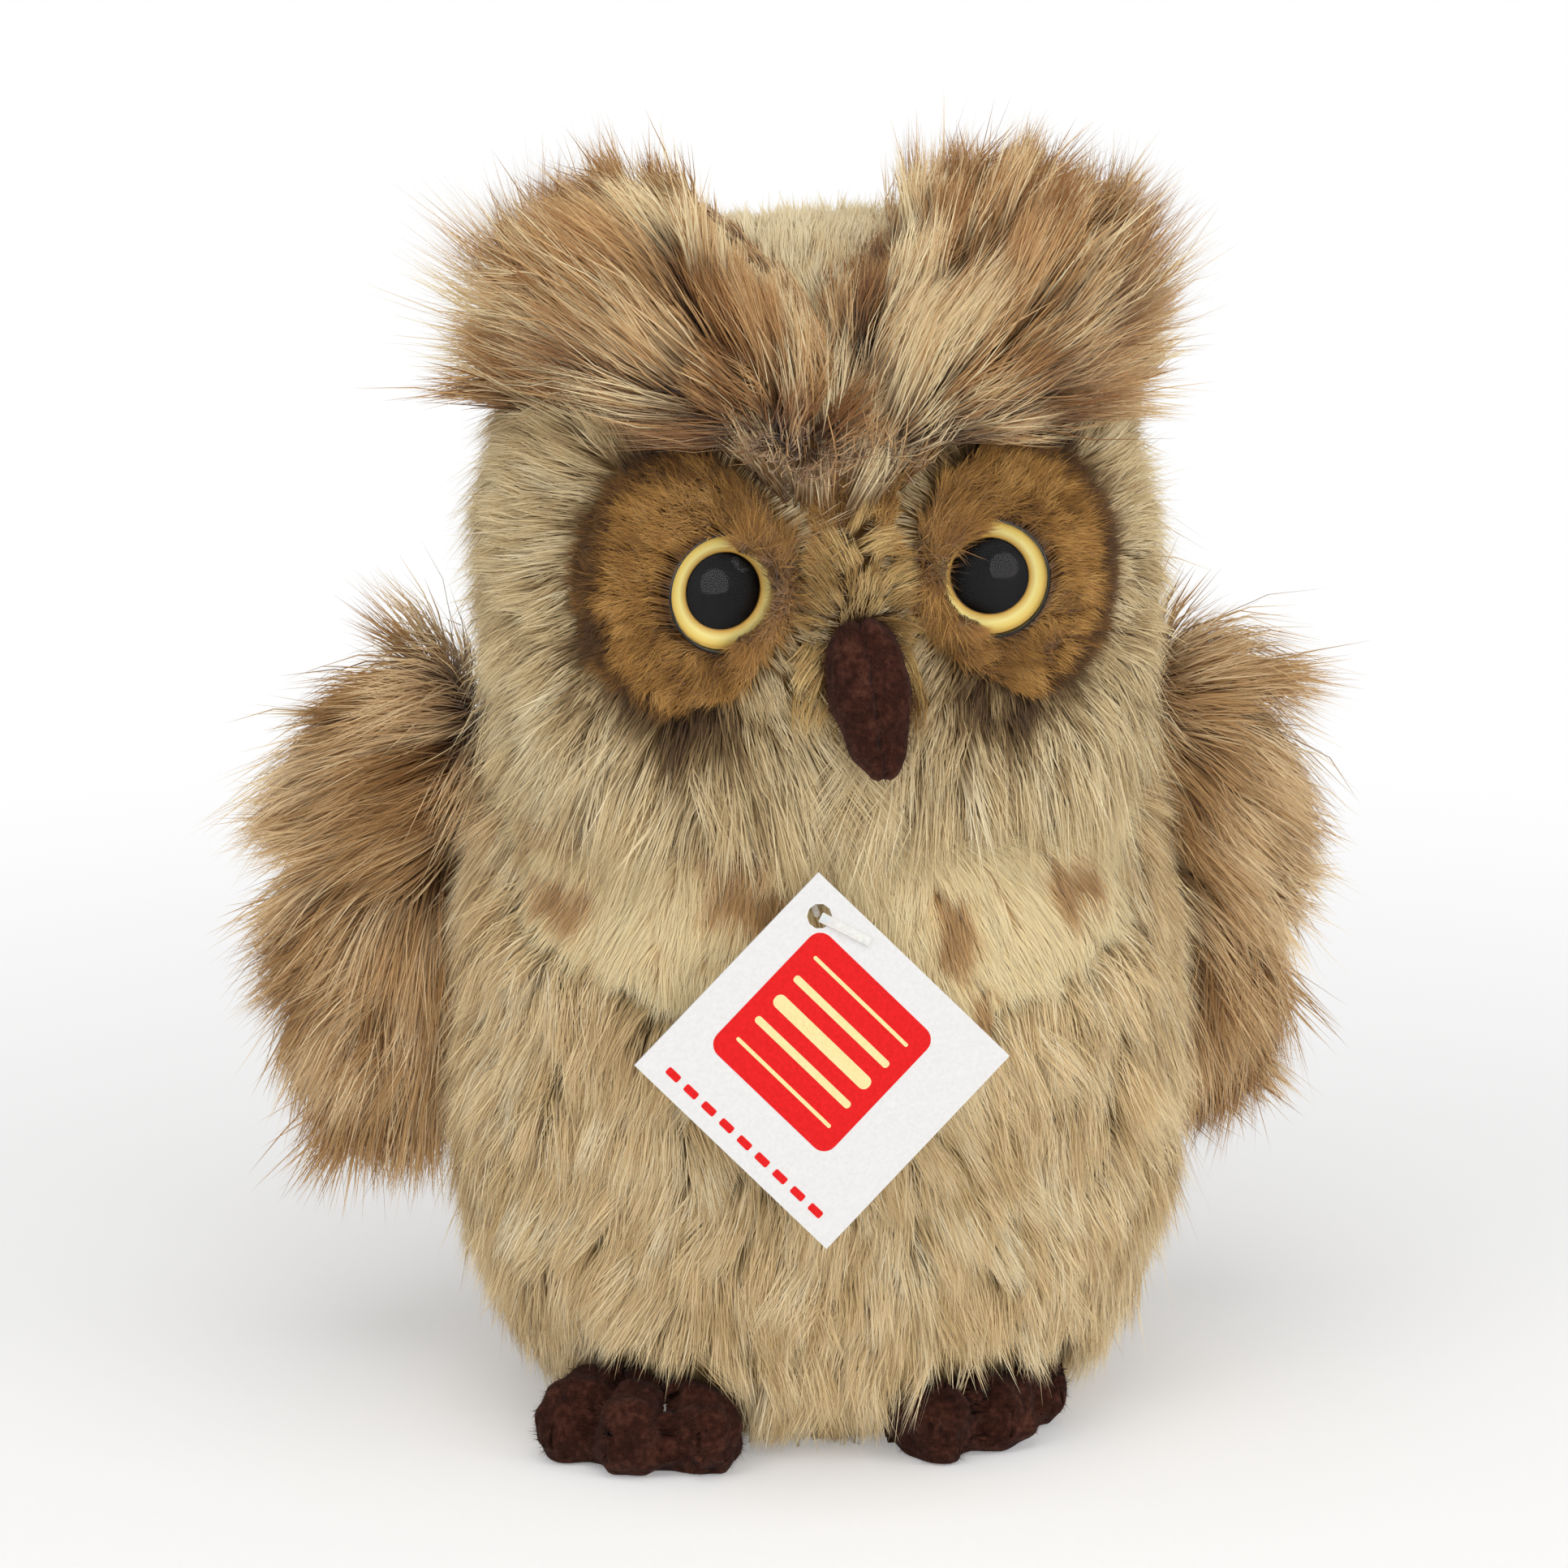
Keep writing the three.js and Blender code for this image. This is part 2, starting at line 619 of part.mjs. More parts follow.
function buildHead() {
  const head = new THREE.Group();
  head.applyMatrix4(headPose());
  owl.add(head);
  const neckTop = headWidestHeight - headDrop / 2;
  const neck = (radius) => post(radius, radius, neckTop - headDrop, neckTop);
  const beakRoom = beakForm(-clearance);
  let shell = headForm(0).subtract(headForm(plush)).subtract(neck(neckRadius)).subtract(beakRoom);
  let filling = headForm(plush + clearance).add(neck(neckRadius - clearance).intersect(headForm(0)));
  filling = filling.subtract(beakRoom);
  for (const sign of Object.values(sides)) {
    shell = shell.subtract(disc(sign, clearance)).subtract(eyeRoom(sign));
    filling = filling.subtract(eyeRoom(sign)).subtract(washerRoom(sign));
  }
  const besideGusset = shell.subtract(gussetStrip(clearance));
  const bridge = besideGusset.intersect(prism(bridgeOutline(0), 0, -overrun));
  const cheeks = besideGusset.subtract(prism(bridgeOutline(clearance), 0, -overrun));
  addPiece(head, "head_crown_gusset", shell.intersect(gussetStrip(0)), materials.headPlush);
  addPiece(head, "face_bridge_panel", bridge, materials.headPlush);
  addPiece(head, "head_filling", filling, materials.fibre);
  addPiece(head, "beak_filling", beakForm(felt + clearance), materials.fibre);
  for (const [side, sign] of Object.entries(sides)) buildFace(head, side, sign, cheeks);
}

// Wings. A wing's own frame hangs from its pivot: +X runs out along the wing, +Z is up.

function wingFrame(sign) {
  const out = sign > 0 ? turned(leftWingSweep) : turned(halfTurn - rightWingSweep);
  return movedTo(sign * wingPivotSide, wingPivotSetback, wingPivotHeight).multiply(out);
}

function wingForm(sign, inset) {
  const half = { x: wingHalfSpan - inset, y: wingHalfThickness - inset };
  const reach = wingHeight / 2 - inset;
  const form = reshape(swollen(half, reach, reach, wingFullness, middleSteps), (p) => {
    const up = (0.5 + p.z / wingHeight) ** 2;
    p.x = p.x * (1 - wingTopTaperShare * up) - wingTopShift * up;
    p.y *= 1 - (wingTopTaperShare / 2) * up;
  });
  form.translate(wingCentreOut, 0, wingTopAbove - wingHeight / 2).applyMatrix4(wingFrame(sign));
  return solidOf(form).subtract(bodyForm(-clearance - inset)).subtract(headOnBody(-clearance - inset));
}

function buildWings() {
  for (const [side, sign] of Object.entries(sides)) {
    const shell = wingForm(sign, 0).subtract(wingForm(sign, wingPlush));
    for (const [face, way] of Object.entries({ front: -sign, back: sign })) {
      const slab = new THREE.BoxGeometry(2 * overrun, overrun, 2 * overrun);
      slab.translate(0, (way * (overrun + clearance)) / 2, 0).applyMatrix4(wingFrame(sign));
      addPiece(owl, `${side}_wing_${face}_panel`, shell.intersect(solidOf(slab)), materials.wingPlush);
    }
    addPiece(owl, `${side}_wing_filling`, wingForm(sign, wingPlush + clearance), materials.fibre);
  }
}

// Feet. A foot's own frame stands at its ankle, with its middle toe along -Y.

function footFrame(side) {
  if (side === "left") return movedTo(leftFootSpread, -leftFootForward, 0).multiply(turned(leftFootSplay));
  return movedTo(-rightFootSpread, -rightFootForward, 0).multiply(turned(-rightFootSplay));
}

function toe(length, halfWidth, fan, inset) {
  const half = { x: halfWidth - inset, y: length / 2 - inset };
  const halfHeight = (toeRise + toeSink) / 2;
  const form = swollen(half, halfHeight - inset, halfHeight - inset, toeFullness, toeSteps);
  return form.translate(0, -length / 2, halfHeight - toeSink).applyMatrix4(turned(fan));
}

function footForm(side, inset) {
  const sideToes = [-toeFan, toeFan].map((fan) => toe(sideToeLength, sideToeHalfWidth, fan, inset));
  const toes = [toe(middleToeLength, middleToeHalfWidth, 0, inset), ...sideToes];
  const solids = toes.map((form) => solidOf(form.applyMatrix4(footFrame(side))));
  return solids.reduce((whole, solid) => whole.add(solid)).subtract(bodyForm(-clearance - inset));
}

function buildFeet() {
  for (const side of Object.keys(sides)) {
    const whole = footForm(side, 0);
    const above = block([-overrun, -overrun, felt + clearance], [overrun, overrun, overrun]);
    const sole = block([-overrun, -overrun, 0], [overrun, overrun, felt]);
    const upper = whole.intersect(above).subtract(footForm(side, felt));
    const filling = footForm(side, felt + clearance).intersect(above);
    addPiece(owl, `${side}_foot_felt`, upper, materials.brownFelt);
    addPiece(owl, `${side}_foot_sole`, whole.intersect(sole), materials.brownFelt);
    addPiece(owl, `${side}_foot_filling`, filling, materials.fibre);
  }
}

// Tag. Its frame is at the pin's pivot, with the card hanging by its corner and facing -Y.

function cardLeaf(backY) {
  const shape = new THREE.Shape();
  const reach = cardSide / Math.SQRT2;
  shape.moveTo(0, cardHoleFromCorner);
  shape.lineTo(-reach, cardHoleFromCorner - reach);
  shape.lineTo(0, cardHoleFromCorner - 2 * reach);
  shape.lineTo(reach, cardHoleFromCorner - reach);
  shape.holes.push(new THREE.Path().absarc(0, 0, cardHoleRadius, 0, 2 * Math.PI, true));
  return prism(shape, backY, backY - cardThickness);
}

// The pin's flat head on its thread, which passes both leaves.
function pinHead(headY) {
  const thread = new THREE.CylinderGeometry(pinRadius, pinRadius, -headY + pinHeadThickness / 2, pinSteps);
  thread.translate(0, (headY - pinHeadThickness / 2) / 2, 0);
  const paddle = new THREE.BoxGeometry(pinHeadLength, pinHeadThickness, 2 * pinHeadHalfWidth);
  paddle.translate(pinHeadLength / 2 - pinHeadHalfWidth, headY - pinHeadThickness / 2, 0);
  return solidOf(thread).add(solidOf(paddle.rotateY(THREE.MathUtils.degToRad(pinHeadTurn))));
}

function buildTag() {
  const tag = new THREE.Group();
  tag.position.copy(tagPivot);
  tag.rotation.x = THREE.MathUtils.degToRad(-tagLean);
  owl.add(tag);
  const frontLeafY = -pinReach - cardThickness - clearance;
  addPiece(tag, "tag_back_leaf", cardLeaf(-pinReach), materials.card);
  addPiece(tag, "tag_front_leaf", cardLeaf(frontLeafY), materials.card);
  addPiece(tag, "tag_pin_head", pinHead(frontLeafY - cardThickness - clearance), materials.whiteNylon);
}

buildBody();
buildHead();
buildWings();
buildFeet();
buildTag();

export default owl;
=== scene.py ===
"""A sitting plush owl, dressed in pile fabric, felt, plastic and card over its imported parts.

Metres, +Z up. The owl faces -Y, so its own left is +X.
"""

import json
import logging
import math
from collections.abc import Callable, Sequence
from dataclasses import dataclass, field, replace
from enum import Enum
from functools import cache

import bpy
import numpy as np
from mathutils import Matrix, Vector
from mathutils.bvhtree import BVHTree
from mathutils.kdtree import KDTree

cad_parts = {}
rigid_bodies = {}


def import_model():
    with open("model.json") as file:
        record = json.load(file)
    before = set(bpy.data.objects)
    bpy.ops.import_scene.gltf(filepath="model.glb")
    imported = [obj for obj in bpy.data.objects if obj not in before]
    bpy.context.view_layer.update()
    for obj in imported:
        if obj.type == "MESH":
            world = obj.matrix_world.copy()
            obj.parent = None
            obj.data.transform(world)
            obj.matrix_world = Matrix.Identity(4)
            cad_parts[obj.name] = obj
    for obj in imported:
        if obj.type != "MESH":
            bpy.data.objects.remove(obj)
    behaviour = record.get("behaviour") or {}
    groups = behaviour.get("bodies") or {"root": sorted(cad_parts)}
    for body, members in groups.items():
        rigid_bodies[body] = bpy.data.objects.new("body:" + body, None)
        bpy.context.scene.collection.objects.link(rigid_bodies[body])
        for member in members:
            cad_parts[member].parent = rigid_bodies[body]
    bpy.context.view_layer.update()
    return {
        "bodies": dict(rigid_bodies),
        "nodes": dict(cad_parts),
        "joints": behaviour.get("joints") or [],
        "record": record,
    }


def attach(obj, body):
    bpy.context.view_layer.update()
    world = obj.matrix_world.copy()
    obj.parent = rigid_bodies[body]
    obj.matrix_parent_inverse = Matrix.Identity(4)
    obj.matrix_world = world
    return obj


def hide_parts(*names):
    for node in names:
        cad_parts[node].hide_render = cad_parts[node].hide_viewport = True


LOG = logging.getLogger("plush_owl")
STRAND_MAP = "OFBake"  # across it runs the tone of a strand, up it the way from root to tip
TINY = 1e-9
SQUARE_MILLIMETRES = 1e6  # in a square metre
PIECE_TRIANGLES = 190_000  # the most in one piece
WAVES = 6  # in a slow noise
WAVE_SHARES = (0.6, 1.6)  # of the usual rate
FLOOR_GAP = 0.0003
FLAT_LIMIT = 0.999  # of a normal, where it points straight up or down
WELD_GAP = 1e-6
SMOOTH_ANGLE = 38  # degrees, past which an edge stays sharp

Array = np.ndarray
Comb = Callable[[Array, Array], Array]
Tone = Callable[[Array], Array]
Settle = Callable[[Array], Array]
Keep = Callable[[Array], Array]
Tint = tuple[int, int, int]
Stops = tuple[tuple[float, Tint], ...]
Place = tuple[float, float, float]
Range = tuple[float, float]
Socket = bpy.types.NodeSocket


class Side(Enum):
    """The owl's own sides."""

    LEFT = "left"
    RIGHT = "right"

    @property
    def sign(self) -> int:
        """1 on the owl's left, which is +X, and -1 on its right."""
        return 1 if self is Side.LEFT else -1


def unit(rows: Array) -> Array:
    """Returns rows of vectors scaled to length 1."""
    return rows / np.maximum(np.linalg.norm(rows, axis=-1, keepdims=True), TINY)


def along_skin(flow: Array, normals: Array) -> Array:
    """Returns each direction laid into the skin there, with length 1."""
    return unit(flow - normals * np.sum(flow * normals, axis=-1, keepdims=True))


def ease(values: Array, start: float, end: float) -> Array:
    """Returns 0 before start, 1 past end and a smooth rise between them."""
    share = np.clip((values - start) / (end - start), 0, 1)
    return share * share * (3 - 2 * share)


def turned_about(rows: Array, axes: Array, angles: Array) -> Array:
    """Returns rows turned about their own axes.

    Args:
        rows: Vectors square to their axes.
        axes: Unit vectors.
        angles: Radians, one for each row.

    Returns:
        The turned vectors.
    """
    return rows * np.cos(angles)[:, None] + np.cross(axes, rows) * np.sin(angles)[:, None]


def slow_noise(places: Array, pitch: float, seed: int) -> Array:
    """Returns a smooth random value from about -1 to 1 for each place.

    Args:
        places: Points.
        pitch: The usual distance from a high to the next.
        seed: Picks the pattern.
    """
    waves = np.random.default_rng(seed)
    total = np.zeros(len(places))
    for _ in range(WAVES):
        direction = unit(waves.standard_normal(3)) * waves.uniform(*WAVE_SHARES) * math.tau / pitch
        total += np.sin(places @ direction + waves.uniform(0, math.tau))
    return total / math.sqrt(WAVES)


@dataclass(frozen=True)
class Patches:
    """A tone in soft patches, which can be asked for at any places."""

    level: float
    spread: float  # up and down from the level
    pitch: float
    seed: int

    def __call__(self, places: Array) -> Array:
        """Returns the tone at each place."""
        return self.level + self.spread * slow_noise(places, self.pitch, self.seed)


def linear(tint: Tint) -> tuple[float, float, float, float]:
    """Returns a screen colour from 0 to 255 as the shader's linear colour, by the standard curve."""
    channels = [value / 255 for value in tint]
    light = [c / 12.92 if c <= 0.04045 else ((c + 0.055) / 1.055) ** 2.4 for c in channels]
    return (*light, 1.0)


def pick(*pieces: bpy.types.Object) -> None:
    """Selects these objects alone and makes the first of them active."""
    bpy.ops.object.select_all(action="DESELECT")
    for piece in pieces:
        piece.select_set(True)
    bpy.context.view_layer.objects.active = pieces[0]


def apply_all(piece: bpy.types.Object) -> None:
    """Applies every modifier of a piece in order."""
    pick(piece)
    for modifier in list(piece.modifiers):
        bpy.ops.object.modifier_apply(modifier=modifier.name)


def shown(name: str, mesh: bpy.types.Mesh) -> bpy.types.Object:
    """Returns a new object with this mesh, in the scene."""
    piece = bpy.data.objects.new(name, mesh)
    bpy.context.scene.collection.objects.link(piece)
    return piece


def mesh_points(mesh: bpy.types.Mesh) -> Array:
    """Returns a mesh's vertices as rows."""
    points = np.empty(len(mesh.vertices) * 3)
    mesh.vertices.foreach_get("co", points)
    return points.reshape(-1, 3)


def set_points(mesh: bpy.types.Mesh, points: Array) -> None:
    """Moves a mesh's vertices to these rows."""
    mesh.vertices.foreach_set("co", points.astype(np.float32).ravel())
    mesh.update()


def mesh_normals(mesh: bpy.types.Mesh) -> Array:
    """Returns the smooth normal at each vertex."""
    normals = np.empty(len(mesh.vertices) * 3)
    mesh.vertices.foreach_get("normal", normals)
    return normals.reshape(-1, 3)


def mesh_triangles(mesh: bpy.types.Mesh) -> Array:
    """Returns the corners of each triangle."""
    mesh.calc_loop_triangles()
    corners = np.empty(len(mesh.loop_triangles) * 3, dtype=np.int32)
    mesh.loop_triangles.foreach_get("vertices", corners)
    return corners.reshape(-1, 3)


def count_triangles(piece: bpy.types.Object) -> int:
    """Returns how many triangles a piece has."""
    piece.data.calc_loop_triangles()
    return len(piece.data.loop_triangles)


def dress(piece: bpy.types.Object, material: bpy.types.Material, body: str) -> None:
    """Gives a piece its material and the body it rides on."""
    piece.data.materials.clear()
    piece.data.materials.append(material)
    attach(piece, body)
    LOG.info("%s: %d triangles", piece.name, count_triangles(piece))


def finish_node(node: str, material: bpy.types.Material) -> None:
    """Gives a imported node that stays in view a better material."""
    for slot in bpy.data.objects[node].material_slots:
        slot.material = material


def added(add: Callable[..., set[str]], name: str, **settings: object) -> bpy.types.Object:
    """Returns a new primitive, which alone is selected.

    Args:
        add: The operator that adds it.
        name: Its name.
        settings: What the operator is told.
    """
    bpy.ops.object.select_all(action="DESELECT")
    add(**settings)
    piece = bpy.context.view_layer.objects.active
    piece.name = name
    return piece


def seated(piece: bpy.types.Object, frame: Matrix | None = None) -> bpy.types.Object:
    """Keeps a piece's place in its mesh, once it has moved into a frame where one is given."""
    pick(piece)
    if frame is not None:
        piece.matrix_world = frame
    bpy.ops.object.transform_apply(location=True, rotation=True, scale=True)
    return piece


def blank(name: str, radius: float, low: float, high: float, sides: int = 96) -> bpy.types.Object:
    """Adds a round blank that stands on the Z axis.

    Args:
        name: The name of the new piece.
        radius: Its radius.
        low: The height of its underside.
        high: The height of its top.
        sides: Round its rim.

    Returns:
        The blank, at the origin.
    """
    middle = (0, 0, (low + high) / 2)
    cylinder = bpy.ops.mesh.primitive_cylinder_add
    return seated(added(cylinder, name, vertices=sides, radius=radius, depth=high - low, location=middle))


def edit_end(piece: bpy.types.Object, way: int) -> None:
    """Enters edit mode with the flat end of a blank selected.

    Args:
        piece: The blank.
        way: 1 for the end that is furthest up, -1 for the lowest.
    """
    bpy.ops.object.mode_set(mode="OBJECT")
    ends = [abs(face.normal.z) > FLAT_LIMIT for face in piece.data.polygons]
    heights = [way * face.center.z if end else -1.0 for face, end in zip(piece.data.polygons, ends)]
    edit_faces(piece, np.arange(len(heights)) == int(np.argmax(heights)))


def draw_out(rise: float, share: float = 1.0) -> None:
    """Extrudes the selected end along Z, and widens or narrows it by a share."""
    bpy.ops.mesh.extrude_region_move(TRANSFORM_OT_translate={"value": (0, 0, rise)})
    bpy.ops.transform.resize(value=(share, share, 1), center_override=(0, 0, 0))


def bore_through(piece: bpy.types.Object) -> None:
    """Joins the flat faces inside both ends of a blank into a bore."""
    bpy.ops.object.mode_set(mode="OBJECT")
    edit_faces(piece, np.array([len(face.vertices) > 4 for face in piece.data.polygons]))
    bpy.ops.mesh.bridge_edge_loops()


def smoothed(piece: bpy.types.Object, bevel: float, steps: int = 3) -> bpy.types.Object:
    """Leaves edit mode, rounds a piece's sharp edges and shades it smooth."""
    bpy.ops.object.mode_set(mode="OBJECT")
    rounding = piece.modifiers.new("rounded_edges", "BEVEL")
    rounding.width = bevel
    rounding.segments = steps
    rounding.limit_method = "ANGLE"
    apply_all(piece)
    bpy.ops.object.shade_smooth_by_angle(angle=math.radians(SMOOTH_ANGLE))
    return piece


class Shader:
    """A material's node tree, with short ways to add and join nodes."""

    def __init__(self, name: str) -> None:
        """Starts a material with only a principled shader and an output."""
        self.material = bpy.data.materials.new(name)
        self.material.use_nodes = True
        self.nodes = self.material.node_tree.nodes
        self.surface = next(n for n in self.nodes if n.type == "BSDF_PRINCIPLED")
        self.output = next(n for n in self.nodes if n.type == "OUTPUT_MATERIAL")

    def add(self, kind: str, **settings: object) -> bpy.types.Node:
        """Returns a new node with these properties set."""
        node = self.nodes.new(kind)
        for name, value in settings.items():
            setattr(node, name, value)
        return node

    def join(self, start: Socket, end: Socket) -> None:
        """Links one socket to another."""
        self.material.node_tree.links.new(start, end)

    def set(self, **values: float | tuple[float, ...]) -> None:
        """Sets constants on the shader's own sockets, with underscores for spaces."""
        for name, value in values.items():
            self.surface.inputs[name.replace("_", " ")].default_value = value

    def ramp(self, stops: Stops, factor: Socket) -> Socket:
        """Returns the colour output of a ramp.

        Args:
            stops: Places from 0 to 1 with their colours.
            factor: The socket that the ramp reads.
        """
        node = self.add("ShaderNodeValToRGB")
        elements = node.color_ramp.elements
        while len(elements) < len(stops):
            elements.new(1.0)
        for element, (place, tint) in zip(elements, stops):
            element.position = place
            element.color = linear(tint)
        self.join(factor, node.inputs["Fac"])
        return node.outputs["Color"]

    def paint(self, colour: Socket) -> None:
        """Gives the surface its colour."""
        self.join(colour, self.surface.inputs["Base Color"])

    def mix(self, factor: Socket, low: Socket, high: Socket) -> Socket:
        """Returns a colour that goes from low to high as the factor rises."""
        node = self.add("ShaderNodeMix", data_type="RGBA")
        for name, socket in (("Factor", factor), ("A", low), ("B", high)):
            self.join(socket, node.inputs[name])
        return node.outputs["Result"]

    def blend(self, factor: Socket, low: Socket, high: Socket) -> Socket:
        """Returns a surface that goes from low to high as the factor rises."""
        node = self.add("ShaderNodeMixShader")
        for row, socket in enumerate((factor, low, high)):
            self.join(socket, node.inputs[row])
        return node.outputs[0]

    def spread(
        self, value: Socket, reach: Range = (0.0, 1.0), lowest: float = 0.0, smooth: bool = False
    ) -> Socket:
        """Returns a value spread out between two bounds.

        Args:
            value: What is spread out.
            reach: Where it counts as lowest, and where as 1.
            lowest: What it is at the first of these.
            smooth: Whether it eases in and out.
        """
        node = self.add("ShaderNodeMapRange", interpolation_type="SMOOTHSTEP" if smooth else "LINEAR")
        node.inputs["From Min"].default_value, node.inputs["From Max"].default_value = reach
        node.inputs["To Min"].default_value = lowest
        self.join(value, node.inputs["Value"])
        return node.outputs["Result"]

    def length(self, vector: Socket) -> Socket:
        """Returns a vector's length."""
        node = self.add("ShaderNodeVectorMath", operation="LENGTH")
        self.join(vector, node.inputs[0])
        return node.outputs["Value"]

    def place(self, turn_in: Matrix | None = None) -> Socket:
        """Returns object coordinates, seen in a frame of the piece's own where one is given."""
        coordinates = self.add("ShaderNodeTexCoord").outputs["Object"]
        if turn_in is None:
            return coordinates
        mapping = self.add("ShaderNodeMapping")
        mapping.inputs["Location"].default_value = turn_in.to_translation()
        mapping.inputs["Rotation"].default_value = turn_in.to_euler()
        self.join(coordinates, mapping.inputs["Vector"])
        return mapping.outputs["Vector"]

    def noise(self, scale: float, detail: float) -> Socket:
        """Returns a noise value over the piece's object coordinates."""
        node = self.add("ShaderNodeTexNoise")
        node.inputs["Scale"].default_value = scale
        node.inputs["Detail"].default_value = detail
        self.join(self.place(), node.inputs["Vector"])
        return node.outputs["Fac"]

    def bump(self, height: Socket, strength: float, distance: float) -> None:
        """Roughens the surface by a height."""
        node = self.add("ShaderNodeBump")
        node.inputs["Strength"].default_value = strength
        node.inputs["Distance"].default_value = distance
        self.join(height, node.inputs["Height"])
        self.join(node.outputs["Normal"], self.surface.inputs["Normal"])


@dataclass(frozen=True)
class PileFinish:
    """The dye of a pile: colours over the tone of a strand, at its root and at its tip."""

    name: str
    roots: Stops
    tips: Stops
    pale_from: float = 0.08  # of the way up a strand, where its root's colour starts to fade
    pale_by: float = 0.72
    roughness: float = 0.7
    sheen: float = 0.3
    gloss: float = 0.2
    backing_from: float = 0.0  # the lowest tone of the backing
    mottle: Range = (700, 3)  # the scale and detail of the backing's noise
    weave: Range = (2600, 2)
    weave_relief: Range = (0.6, 0.0004)  # its strength and height

    @cache
    def strands(self) -> bpy.types.Material:
        """Returns the material of the strands, which is made once."""
        shader = Shader(f"{self.name}_strands")
        split = shader.add("ShaderNodeSeparateXYZ")
        shader.join(shader.add("ShaderNodeUVMap", uv_map=STRAND_MAP).outputs["UV"], split.inputs[0])
        rise = shader.spread(split.outputs["Y"], (self.pale_from, self.pale_by), smooth=True)
        low, high = (shader.ramp(stops, split.outputs["X"]) for stops in (self.roots, self.tips))
        shader.paint(shader.mix(rise, low, high))
        shader.set(Roughness=self.roughness, Sheen_Weight=self.sheen, Sheen_Roughness=0.5)
        shader.set(Specular_IOR_Level=self.gloss)
        return shader.material

    @cache
    def backing(self) -> bpy.types.Material:
        """Returns the material of the backing that the pile stands in, which is made once."""
        shader = Shader(f"{self.name}_backing")
        mottle = shader.spread(shader.noise(*self.mottle), lowest=self.backing_from)
        shader.paint(shader.ramp(self.roots, mottle))
        shader.bump(shader.noise(*self.weave), *self.weave_relief)
        shader.set(Roughness=0.95, Sheen_Weight=0.1, Specular_IOR_Level=0.1)
        return shader.material


@dataclass(frozen=True)
class FeltFinish:
    """Pressed wool felt: mottled fibres and small pits."""

    name: str = "brown_felt"
    stops: Stops = ((0.3, (32, 14, 10)), (0.5, (60, 32, 24)), (0.68, (92, 56, 44)))
    fibres: Range = (900, 6)  # their noise's scale and detail
    pits: Range = (260, 3)
    fibre_share: float = 0.6
    relief: Range = (0.9, 0.0005)  # its strength and height

    def material(self) -> bpy.types.Material:
        """Returns the felt's material."""
        shader = Shader(self.name)
        blend = shader.add("ShaderNodeMath", operation="MULTIPLY_ADD")
        shader.join(shader.noise(*self.fibres), blend.inputs[0])
        blend.inputs[1].default_value = self.fibre_share
        soft = shader.add("ShaderNodeMath", operation="MULTIPLY")
        shader.join(shader.noise(*self.pits), soft.inputs[0])
        soft.inputs[1].default_value = 1 - self.fibre_share
        shader.join(soft.outputs[0], blend.inputs[2])
        shader.paint(shader.ramp(self.stops, blend.outputs[0]))
        shader.bump(blend.outputs[0], *self.relief)
        shader.set(Roughness=1.0, Sheen_Weight=0.04, Sheen_Roughness=0.6, Specular_IOR_Level=0.04)
        return shader.material


@dataclass(frozen=True)
class GrainFinish:
    """A plain surface with one fine grain in its colour and relief: fibre, cloth, plastic, card or ink."""

    name: str
    stops: Stops
    grain: Range  # its noise's scale and detail
    roughness: float
    relief: Range | None = None  # its strength and height
    sheen: float = 0.0
    level: float = 0.5  # of its specular reflection, where 0.5 is usual
    ior: float = 1.5
    clear: float = 0.0  # how much light passes through it
    glow_in: float = 0.0  # how much light passes into it and out again
    glow_depth: float = 0.0006

    def material(self) -> bpy.types.Material:
        """Returns the surface's material."""
        shader = Shader(self.name)
        grain = shader.noise(*self.grain)
        shader.paint(shader.ramp(self.stops, grain))
        if self.relief:
            shader.bump(grain, *self.relief)
        shader.set(Roughness=self.roughness, Sheen_Weight=self.sheen, Specular_IOR_Level=self.level)
        shader.set(IOR=self.ior, Transmission_Weight=self.clear)
        if self.glow_in:
            shader.set(Subsurface_Weight=self.glow_in, Subsurface_Scale=self.glow_depth)
        return shader.material


@dataclass(frozen=True)
class FoilFinish:
    """The gold foil of an iris, paler along the middle of its ring as a painted highlight, and darker at
    both edges as painted shade.
    """

    # the foil's gold across its ring: the pale middle is a painted highlight, the dark inner and outer
    # edges are painted shade
    stops: Stops = (
        (0.0, (150, 104, 30)), (0.1, (216, 172, 74)), (0.4, (255, 238, 152)), (0.72, (255, 222, 116)),
        (0.92, (226, 176, 74)), (1.0, (150, 108, 36)),
    )
    roughness: float = 0.45
    metallic: float = 0.3
    grain: Range = (2400, 3)  # its noise's scale and detail
    relief: Range = (0.15, 0.0001)  # its strength and height

    def material(self, eye: "Eye") -> bpy.types.Material:
        """Returns the foil's material, centred on an eye."""
        shader = Shader(f"{eye.side.value}_iris_foil")
        split = shader.add("ShaderNodeSeparateXYZ")
        shader.join(shader.place(eye.frame.inverted()), split.inputs[0])
        flat = shader.add("ShaderNodeCombineXYZ")
        for axis in "XY":
            shader.join(split.outputs[axis], flat.inputs[axis])
        across = shader.spread(shader.length(flat.outputs[0]), (eye.iris_inner, eye.iris_outer))
        shader.paint(shader.ramp(self.stops, across))
        shader.bump(shader.noise(*self.grain), *self.relief)
        shader.set(Roughness=self.roughness, Metallic=self.metallic)
        return shader.material


